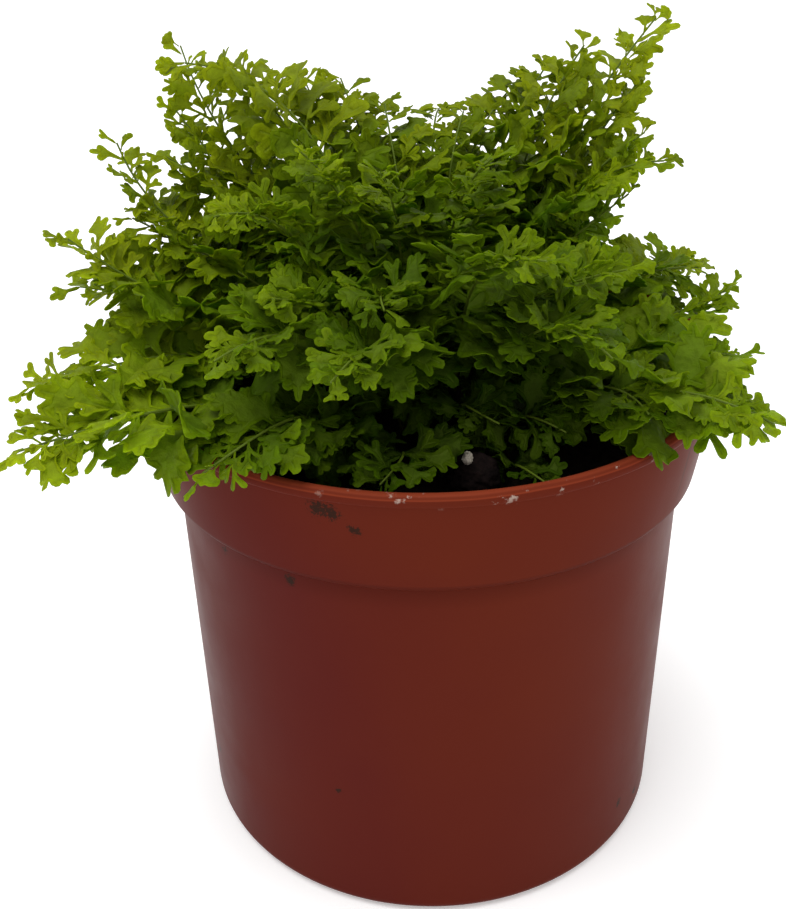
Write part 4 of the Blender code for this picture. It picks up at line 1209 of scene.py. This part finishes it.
class Nodes:
    """Adds nodes to a tree and links them, with short calls."""

    def __init__(self, tree):
        self.tree = tree

    def put(self, node, key, value):
        """Feeds a node's input with an output, by a link, or with a value."""
        socket = node.inputs[key]
        if isinstance(value, bpy.types.NodeSocket):
            self.tree.links.new(value, socket)
        else:
            socket.default_value = (*value, 1.0) if socket.type == "RGBA" else value

    def add(self, kind, inputs=None, **settings):
        """A node with its settings and what feeds its inputs."""
        node = self.tree.nodes.new(kind)
        for name, value in settings.items():
            setattr(node, name, value)
        for key, value in (inputs or {}).items():
            self.put(node, key, value)
        return node

    def math(self, operation, a, b=0.0):
        return self.add("ShaderNodeMath", {0: a, 1: b}, operation=operation).outputs[0]

    def plus(self, a, b):
        return self.math("ADD", a, b)

    def minus(self, a, b):
        return self.math("SUBTRACT", a, b)

    def times(self, a, b):
        return self.math("MULTIPLY", a, b)

    def most(self, a, b):
        return self.math("MAXIMUM", a, b)

    def size(self, a):
        return self.math("ABSOLUTE", a)

    def split(self, vector):
        """The three numbers of a vector."""
        return self.add("ShaderNodeSeparateXYZ", {0: vector}).outputs

    def distance(self, place, spot):
        node = self.add("ShaderNodeVectorMath", {0: place, 1: spot}, operation="DISTANCE")
        return node.outputs["Value"]

    def noise(self, vector, scale, detail, roughness=0.55):
        inputs = {"Vector": vector, "Scale": scale, "Detail": detail, "Roughness": roughness}
        return self.add("ShaderNodeTexNoise", inputs).outputs["Fac"]

    def ramp(self, value, low, high, start=0.0, end=1.0):
        """Maps low..high to start..end, held at both ends."""
        inputs = {"Value": value, "From Min": low, "From Max": high, "To Min": start, "To Max": end}
        return self.add("ShaderNodeMapRange", inputs).outputs[0]

    def mix(self, share, a, b, blend="MIX"):
        """Two colours mixed."""
        inputs = {0: share, 6: a, 7: b}
        return self.add("ShaderNodeMix", inputs, data_type="RGBA", blend_type=blend).outputs[2]

    def place(self):
        """Where a point of the piece is, in the piece's own axes."""
        return self.add("ShaderNodeTexCoord").outputs["Object"]

    def drawn_map(self, name):
        """One of the two maps that a frond's mesh carries."""
        return self.add("ShaderNodeUVMap", uv_map=name).outputs[0]

    def group(self, tree, inputs):
        return self.add("ShaderNodeGroup", inputs, node_tree=tree).outputs

    def bump(self, height, strength, distance):
        inputs = {"Height": height, "Strength": strength, "Distance": distance}
        return self.add("ShaderNodeBump", inputs).outputs[0]


def new_group(name, inputs, outputs):
    """A node group with named sockets of these kinds: (group, what it gets, what it gives, helper)."""
    tree = bpy.data.node_groups.new(name, "ShaderNodeTree")
    for in_out, sockets in (("INPUT", inputs), ("OUTPUT", outputs)):
        for socket, kind in sockets.items():
            tree.interface.new_socket(name=socket, in_out=in_out, socket_type="NodeSocket" + kind)
    given = tree.nodes.new("NodeGroupInput").outputs
    return tree, given, tree.nodes.new("NodeGroupOutput"), Nodes(tree)


def new_finish(name, roughness, specular):
    """A Principled material: (material, shader, helper)."""
    made = bpy.data.materials.new(name)
    made.use_nodes = True
    n = Nodes(made.node_tree)
    shader = made.node_tree.nodes["Principled BSDF"]
    n.put(shader, "Roughness", roughness)
    n.put(shader, "Specular IOR Level", specular)
    return made, shader, n


def leaf_colour_group():
    """Greens that change from leaflet to leaflet and in soft patches, paler away from the crown's
    middle (partly young growth, partly painted shade inside), with painted shade that makes them darker
    and greener round the shaded gap at the front and a little darker towards the top, and a painted
    highlight on their rims.
    """
    inputs = {"Place": "Vector", "Tone": "Vector", "Leaflet": "Vector"}
    inputs |= {"Deep": "Color", "Fresh": "Color", "Young": "Color"}
    tree, given, out, n = new_group("leaf_colour", inputs, {"Colour": "Color"})
    place = given["Place"]
    chance = n.times(n.split(given["Tone"])[0], CHANCE_SHARE)
    patches = n.times(n.noise(place, *PATCHES), PATCH_SHARE)
    # Partly painted shade: paler away from the crown's middle, for young growth and as painted shade
    # inside
    outer = n.times(n.ramp(n.distance(place, HEART), *OUTER), OUTER_SHARE)
    tone = n.plus(outer, n.plus(chance, patches))
    base = n.mix(n.ramp(tone, *TO_FRESH), given["Deep"], given["Fresh"])
    aged = n.mix(n.ramp(tone, *TO_YOUNG), base, given["Young"])
    # Painted shade: the leaves are painted darker round the shaded gap at the front
    shade = n.distance(place, SHADE)
    # Painted shade: a little darker towards the top as well
    inner = n.times(n.ramp(shade, *PAINTED_SHADE_DARKENING), n.ramp(n.split(place)[2], *PAINTED_TOP_SHADE))
    ripple = n.ramp(n.noise(place, *RIPPLE), *RIPPLE_LIGHT)
    # Painted highlight: the leaflets' rims are painted lighter
    rim = n.ramp(n.split(given["Leaflet"])[1], *PAINTED_RIM_HIGHLIGHT)
    flecks = n.plus(n.ramp(n.noise(place, *MOTTLE), *FLECK_LIGHT), rim)
    # The mottle, the painted rim highlight and the painted shade as one brightness
    light = n.times(n.times(flecks, ripple), inner)
    # Painted shade: less red and more green round the shaded gap at the front
    red = n.times(light, n.ramp(shade, *PAINTED_SHADE_RED))
    green = n.times(light, n.ramp(shade, *PAINTED_SHADE_GREEN))
    shift = n.add("ShaderNodeCombineXYZ", {0: red, 1: green, 2: light}).outputs[0]
    n.put(out, "Colour", n.mix(1.0, aged, shift, "MULTIPLY"))
    return tree


def leaf_vein_group():
    """The fine vein of each lobe as a mask, and the leaflet's puckers and folds as a height."""
    inputs = {"Leaflet": "Vector", "Place": "Vector"}
    tree, given, out, n = new_group("leaf_veins", inputs, {"Mask": "Float", "Height": "Float"})
    mask = n.ramp(n.split(given["Leaflet"])[0], *VEIN_WIDTH)
    n.put(out, "Mask", mask)
    puckers = n.times(n.noise(given["Place"], *PUCKERS), PUCKER_HEIGHT)
    folds = n.times(n.noise(given["Place"], *FOLDS), FOLD_HEIGHT)
    n.put(out, "Height", n.minus(n.plus(puckers, folds), n.times(mask, VEIN_DEPTH)))
    return tree


def leaf_finish():
    """The soft, slightly glossy green of the leaflets, which lets some light through."""
    made, shader, n = new_finish("leaf_green", LEAF_ROUGHNESS, GREEN_SPECULAR)
    n.put(shader, "Specular Tint", LEAF_SHEEN)
    place = n.place()
    leaflet = n.drawn_map("leaflet")
    inputs = {"Place": place, "Tone": n.drawn_map("tone"), "Leaflet": leaflet}
    inputs |= {"Deep": LEAF_DEEP, "Fresh": LEAF_FRESH, "Young": LEAF_YOUNG}
    colour = n.group(leaf_colour_group(), inputs)["Colour"]
    veins = n.group(leaf_vein_group(), {"Leaflet": leaflet, "Place": place})
    tint = n.mix(n.times(veins["Mask"], VEIN_SHARE), colour, LEAF_VEIN)
    n.put(shader, "Base Color", tint)
    bump = n.bump(veins["Height"], *LEAF_BUMP)
    n.put(shader, "Normal", bump)
    glow = n.mix(1.0, tint, LEAF_GLOW, "MULTIPLY")
    through = n.add("ShaderNodeBsdfTranslucent", {"Color": glow, "Normal": bump}).outputs[0]
    both = n.add("ShaderNodeMixShader", {0: LIGHT_THROUGH, 1: shader.outputs[0], 2: through})
    n.put(made.node_tree.nodes["Material Output"], "Surface", both.outputs[0])
    return made


def stem_finish():
    """Pale green rachises, brown at the foot."""
    made, shader, n = new_finish("rachis", STEM_ROUGHNESS, GREEN_SPECULAR)
    upward = n.split(n.drawn_map("tone"))[1]
    blotches = n.times(n.noise(n.place(), *STEM_BLOTCHES), BLOTCH_SHARE)
    greening = n.ramp(n.plus(upward, blotches), *TO_GREEN)
    n.put(shader, "Base Color", n.mix(greening, STEM_BROWN, STEM_GREEN))
    return made


def pot_marks_group():
    """Masks of the bare edge of the lip, scuffs and pale specks, smudges of earth together with the
    painted shade of a crease, the painted light that makes the plastic lighter and more orange to the
    right, and the painted shadow under the collar."""
    outputs = {"Lip": "Float", "Scuff": "Float", "Dirt": "Float", "Side": "Float", "Under": "Float"}
    tree, given, out, n = new_group("pot_marks", {"Place": "Vector"}, outputs)
    place = given["Place"]
    x, y, height = n.split(place)
    wander = n.times(n.minus(n.noise(place, *WANDER), 0.5), WANDER_RANGE)
    edge = n.plus(height, wander)
    groove = n.ramp(n.size(n.minus(edge, LIP_EDGE_FOOT + LIP_GROOVE_RISE)), *LIP_GROOVE)
    n.put(out, "Lip", n.times(n.ramp(edge, *LIP_EDGE), groove))
    patches = n.ramp(n.noise(place, *SCUFF_PATCHES), *SCUFF_EDGE)
    front_right = n.ramp(n.minus(x, y), *SCUFFED_SIDE)
    scuffs = n.times(n.times(patches, n.ramp(height, *NEAR_LIP)), front_right)
    specks = n.times(n.ramp(n.noise(place, *SPECKS), *SPECK_EDGE), SPECK_SHARE)
    n.put(out, "Scuff", n.most(scuffs, specks))
    crumble = n.times(n.noise(place, *CRUMBLE), CRUMBLE_SHARE)
    # Painted shade of a crease: a thin dark line on the collar's right
    across = n.plus(n.times(x, CREASE_ACROSS[0]), n.times(y, CREASE_ACROSS[1]))
    crease = n.ramp(n.size(n.plus(across, wander)), *CREASE_EDGE)
    dirt_and_crease_shade = n.times(crease, n.times(n.ramp(x, *CREASE_FROM), n.ramp(height, *CREASE_ABOVE)))
    for spot, reach in SMUDGES:
        away = n.math("DIVIDE", n.distance(place, spot), reach)
        dirt_and_crease_shade = n.most(dirt_and_crease_shade, n.ramp(n.minus(away, crumble), *SMUDGE_EDGE))
    n.put(out, "Dirt", dirt_and_crease_shade)
    # Painted light: lighter and more orange towards the right
    clouds = n.times(n.minus(n.noise(place, *SIDE_CLOUDS), 0.5), SIDE_CLOUD_RANGE)
    slant = n.plus(x, n.times(height, SIDE_SLANT))
    n.put(out, "Side", n.ramp(n.plus(slant, clouds), *SIDE_EDGE))
    # Painted shadow under the collar
    n.put(out, "Under", n.times(n.ramp(height, *COLLAR_SHADOW_FROM), n.ramp(height, *COLLAR_SHADOW_TO)))
    return tree


def pot_finish():
    """Thin satin plastic in a dull brick red, a little scuffed and soiled, with painted light on its
    right side, a painted shadow under the collar and the painted shade of a crease.
    """
    made, shader, n = new_finish("pot_plastic", POT_ROUGHNESS, POT_SPECULAR)
    place = n.place()
    marks = n.group(pot_marks_group(), {"Place": place})
    # Painted light: darker left, lighter and more orange right
    colour = n.mix(marks["Side"], POT_PAINTED_DIM_LEFT, POT_PAINTED_LIT_RIGHT)
    colour = n.mix(n.ramp(n.noise(place, *POT_CLOUDS), *TO_CLOUDED), colour, POT_CLOUDED)
    # Painted shadow under the collar
    colour = n.mix(n.times(marks["Under"], COLLAR_SHADOW_SHARE), colour, POT_COLLAR_SHADOW)
    colour = n.mix(marks["Lip"], colour, POT_LIP)
    colour = n.mix(n.times(marks["Scuff"], SCUFF_SHARE), colour, POT_SCUFF)
    # Earth smudges and the painted shade of a crease
    colour = n.mix(n.times(marks["Dirt"], DIRT_AND_CREASE_SHARE), colour, POT_DIRT_AND_CREASE_SHADE)
    n.put(shader, "Base Color", colour)
    n.put(shader, "Roughness", n.ramp(n.noise(place, *POT_WEAR), *WEAR_ROUGHNESS))
    n.put(shader, "Normal", n.bump(n.noise(place, *POT_GRAIN), *POT_BUMP))
    return made


def earth_finish(name, dark, light, scale, roughness):
    """Damp, crumbly earth, bark or stone."""
    made, shader, n = new_finish(name, roughness, EARTH_SPECULAR)
    grains = n.noise(n.place(), scale, *GRAIN_DETAIL)
    n.put(shader, "Base Color", n.mix(n.ramp(grains, *GRAIN_EDGE), dark, light))
    n.put(shader, "Normal", n.bump(grains, *EARTH_BUMP))
    return made


# Pot, compost and what lies on it


def wall_radius(z):
    """The outer radius of the pot's body under its collar."""
    return BASE_RADIUS + (BODY_TOP_RADIUS - BASE_RADIUS) * z / COLLAR_FOOT


def pot_profile():
    """The pot's section, from the middle of the inner floor over the lip to the underside."""
    step = COLLAR_FOOT
    ease = EDGE_EASE
    floor = BASE_RECESS + WALL
    under_lip = POT_HEIGHT - LIP_HEIGHT
    collar_top = RIM_RADIUS - LIP_STAND_OUT
    lip_middle = (RIM_RADIUS - WALL, POT_HEIGHT - WALL)
    inner_foot = (wall_radius(0.0) - WALL - BASE_CORNER, floor + BASE_CORNER)
    ring_inner = BASE_RADIUS - BASE_CORNER - FOOT_RING_WIDTH
    return [
        (0.0, floor),
        *arc(inner_foot, BASE_CORNER, -90, 0, 6),
        (BODY_TOP_RADIUS - WALL, step - WALL),
        (COLLAR_FOOT_RADIUS - WALL, step + WALL),
        (collar_top - WALL - LIP_STAND_OUT, under_lip),
        *arc(lip_middle, WALL, 150, 0, 12),
        (RIM_RADIUS, under_lip + LIP_STAND_OUT),
        (RIM_RADIUS - 2 * ease, under_lip + 3 * ease),
        (collar_top, under_lip),
        (COLLAR_FOOT_RADIUS + 0.3 * ease, step + WALL + 3 * ease),
        (COLLAR_FOOT_RADIUS - ease, step + WALL - 3 * ease),
        (COLLAR_FOOT_RADIUS - WALL / 2, step + 2 * ease),
        (COLLAR_FOOT_RADIUS - WALL, step - ease),
        (BODY_TOP_RADIUS + 3 * ease, step - WALL / 2 + ease),
        (BODY_TOP_RADIUS, step - WALL),
        *arc((BASE_RADIUS - BASE_CORNER, BASE_CORNER), BASE_CORNER, 0, -90, 8),
        (ring_inner, 0.0),
        (ring_inner - BASE_RECESS, BASE_RECESS),
        (CENTRE_PAD_RADIUS + BASE_RECESS, BASE_RECESS),
        (CENTRE_PAD_RADIUS, 0.0),
        (0.0, 0.0),
    ]


def turned(name, profile, finish):
    """Spins a section about the Z axis into one closed piece."""
    bm = bmesh.new()
    verts = [bm.verts.new((radius, 0.0, z)) for radius, z in profile]
    edges = [bm.edges.new(pair) for pair in zip(verts[:-1], verts[1:])]
    bmesh.ops.spin(
        bm,
        geom=verts + edges,
        cent=(0.0, 0.0, 0.0),
        axis=(0.0, 0.0, 1.0),
        angle=2 * math.pi,
        steps=POT_SIDES,
        use_merge=True,
    )
    bmesh.ops.remove_doubles(bm, verts=bm.verts, dist=SEAM_WELD)
    bmesh.ops.recalc_face_normals(bm, faces=bm.faces)
    made = add_piece(name, mesh_from(name, bm), finish)
    made.data.shade_smooth()
    made.data.set_sharp_from_angle(angle=math.radians(MOULDED_EDGE_ANGLE))
    return made


def build_pot(finish):
    """The thin moulded pot, with its collar, lip, foot ring and drain holes."""
    pot = turned("nursery_pot", pot_profile(), finish)
    bm = bmesh.new()
    for hole in range(DRAIN_HOLES):
        centre = direction(360 * (hole + 0.5) / DRAIN_HOLES) * DRAIN_CIRCLE_RADIUS
        made = bmesh.ops.create_cone(
            bm,
            cap_ends=True,
            segments=DRAIN_HOLE_SIDES,
            radius1=DRAIN_HOLE_RADIUS,
            radius2=DRAIN_HOLE_RADIUS,
            depth=DRILL_LENGTH,
        )
        bmesh.ops.translate(bm, vec=centre, verts=made["verts"])
    cutter = add_piece("drain_hole_cutter", mesh_from("drain_hole_cutter", bm))
    boolean = pot.modifiers.new("drain_holes", "BOOLEAN")
    boolean.operation = "DIFFERENCE"
    boolean.solver = "EXACT"
    boolean.object = cutter
    apply_modifiers(pot)
    bpy.data.objects.remove(cutter)
    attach(pot, "root")
    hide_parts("pot")


def apply_modifiers(piece):
    """Bakes a piece's modifiers into its mesh."""
    depsgraph = bpy.context.evaluated_depsgraph_get()
    mesh = bpy.data.meshes.new_from_object(piece.evaluated_get(depsgraph))
    piece.modifiers.clear()
    piece.data = mesh


def build_soil(finish):
    """The compost that fills the pot, with a rough, crumbly top."""
    inner_floor = BASE_RECESS + WALL + GAP
    foot = BASE_RADIUS - WALL - GAP - BASE_CORNER
    shoulder = COLLAR_FOOT - WALL - GAP
    throat = BODY_TOP_RADIUS - WALL - GAP - 2 * EDGE_EASE
    top_radius = COLLAR_FOOT_RADIUS - WALL - 2 * GAP
    bm = bmesh.new()

    def ring(radius, z):
        around = []
        for side in range(SOIL_SIDES):
            out = direction(360 * side / SOIL_SIDES) * radius
            height = z
            if z is None:
                height = soil_height(out.x, out.y)
                spot = Vector((out.x, out.y, 0.0)) * FINE_CRUMB_SCALE
                rough = noise.fractal(spot, *FINE_CRUMB_FRACTAL)
                height += rough * FINE_CRUMB * min(1.0, (top_radius - radius) / CALM_EDGE)
            around.append(bm.verts.new((out.x, out.y, height)))
        return around

    rings = [
        ring(foot - BASE_CORNER, inner_floor),
        ring(foot + BASE_CORNER * FOOT_CORNER_CUT, inner_floor + BASE_CORNER * FOOT_CORNER_CUT),
        ring(throat, shoulder),
        ring(top_radius, shoulder + 2 * WALL + 3 * GAP),
    ]
    rings += [ring(top_radius * (SOIL_RINGS - k) / SOIL_RINGS, None) for k in range(SOIL_RINGS)]
    bm.faces.new(reversed(rings[0]))
    for lower, upper in zip(rings[:-1], rings[1:]):
        for side in range(SOIL_SIDES):
            after = (side + 1) % SOIL_SIDES
            bm.faces.new((lower[side], lower[after], upper[after], upper[side]))
    crown = bm.verts.new((0.0, 0.0, soil_height(0.0, 0.0)))
    for side in range(SOIL_SIDES):
        bm.faces.new((rings[-1][side], rings[-1][(side + 1) % SOIL_SIDES], crown))
    bmesh.ops.recalc_face_normals(bm, faces=bm.faces)
    soil = add_piece("compost_bed", mesh_from("compost_bed", bm), finish)
    soil.data.shade_smooth()
    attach(soil, "root")
    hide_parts("compost")


def build_lump(name, node, seed, finish):
    """A rough little lump in the place of its CAD solid."""
    low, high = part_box(node)
    centre = (low + high) / 2
    size = (high - low) / 2
    bm = bmesh.new()
    bmesh.ops.create_icosphere(bm, subdivisions=LUMP_SUBDIVISIONS, radius=1.0)
    for vert in bm.verts:
        swell = noise.fractal(vert.co * LUMP_SCALE + Vector((seed, 0, 0)), *LUMP_FRACTAL)
        vert.co *= LUMP_CORE + LUMP_SWELL * swell
    for k in range(3):
        reach = max(abs(vert.co[k]) for vert in bm.verts)
        for vert in bm.verts:
            vert.co[k] *= size[k] / reach
    for vert in bm.verts:
        vert.co += centre
    piece = add_piece(name, mesh_from(name, bm), finish)
    piece.data.shade_smooth()
    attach(piece, "root")
    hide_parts(node)


# Floor, light and camera


def lay_floor():
    """A plain pale floor that glows a little: painted light that lifts the shadows cast on it."""
    bm = bmesh.new()
    bmesh.ops.create_grid(bm, x_segments=1, y_segments=1, size=FLOOR_HALF_SIZE)
    made, shader, n = new_finish("floor", FLOOR_ROUGHNESS, FLOOR_SPECULAR)
    n.put(shader, "Base Color", FLOOR_COLOUR)
    # Painted light: the floor glows, lifting the shadows cast on it and lighting the pot from below
    n.put(shader, "Emission Color", WHITE)
    n.put(shader, "Emission Strength", FLOOR_GLOW)
    floor = add_piece("floor", mesh_from("floor", bm), made)


def light_studio():
    """A white room with one large, square, soft light above, which faces the plant."""
    world = bpy.data.worlds.new("studio")
    bpy.context.scene.world = world
    world.use_nodes = True
    room = world.node_tree.nodes["Background"]
    room.inputs["Color"].default_value = (*WHITE, 1.0)
    room.inputs["Strength"].default_value = ROOM_LIGHT
    light = bpy.data.lights.new("overhead_light", "AREA")
    light.shape = "SQUARE"
    light.size = OVERHEAD_SIZE
    light.energy = OVERHEAD_POWER
    lamp = bpy.data.objects.new("overhead_light", light)
    bpy.context.scene.collection.objects.link(lamp)
    lamp.location = OVERHEAD_PLACE
    aim = Vector(OVERHEAD_AIM) - Vector(OVERHEAD_PLACE)
    lamp.rotation_euler = aim.to_track_quat("-Z", "Y").to_euler()
    bpy.context.scene.view_settings.view_transform = "Standard"


def set_camera():
    """The camera at the photograph's viewing angle."""
    lens = bpy.data.cameras.new("camera")
    lens.lens = CAMERA_LENS
    lens.sensor_width = SENSOR_WIDTH
    lens.sensor_fit = "AUTO"
    lens.clip_start = NEAREST_SEEN
    camera = bpy.data.objects.new("camera", lens)
    bpy.context.scene.collection.objects.link(camera)
    columns = Matrix((CAMERA_RIGHT, CAMERA_UP, CAMERA_BACK)).transposed().to_4x4()
    camera.matrix_world = Matrix.Translation(CAMERA_PLACE) @ columns
    bpy.context.scene.camera = camera


set_camera()
light_studio()
lay_floor()
build_pot(pot_finish())
build_soil(earth_finish("compost_earth", *COMPOST_EARTH))
bark = earth_finish("bark_skin", *BARK_SKIN)
build_lump("bark_lump", "bark_chip", BARK_SEED, bark)
perlite = earth_finish("perlite_skin", *PERLITE_SKIN)
build_lump("perlite_fleck", "perlite_grain", PERLITE_SEED, perlite)
grow_plant(leaf_finish(), stem_finish())
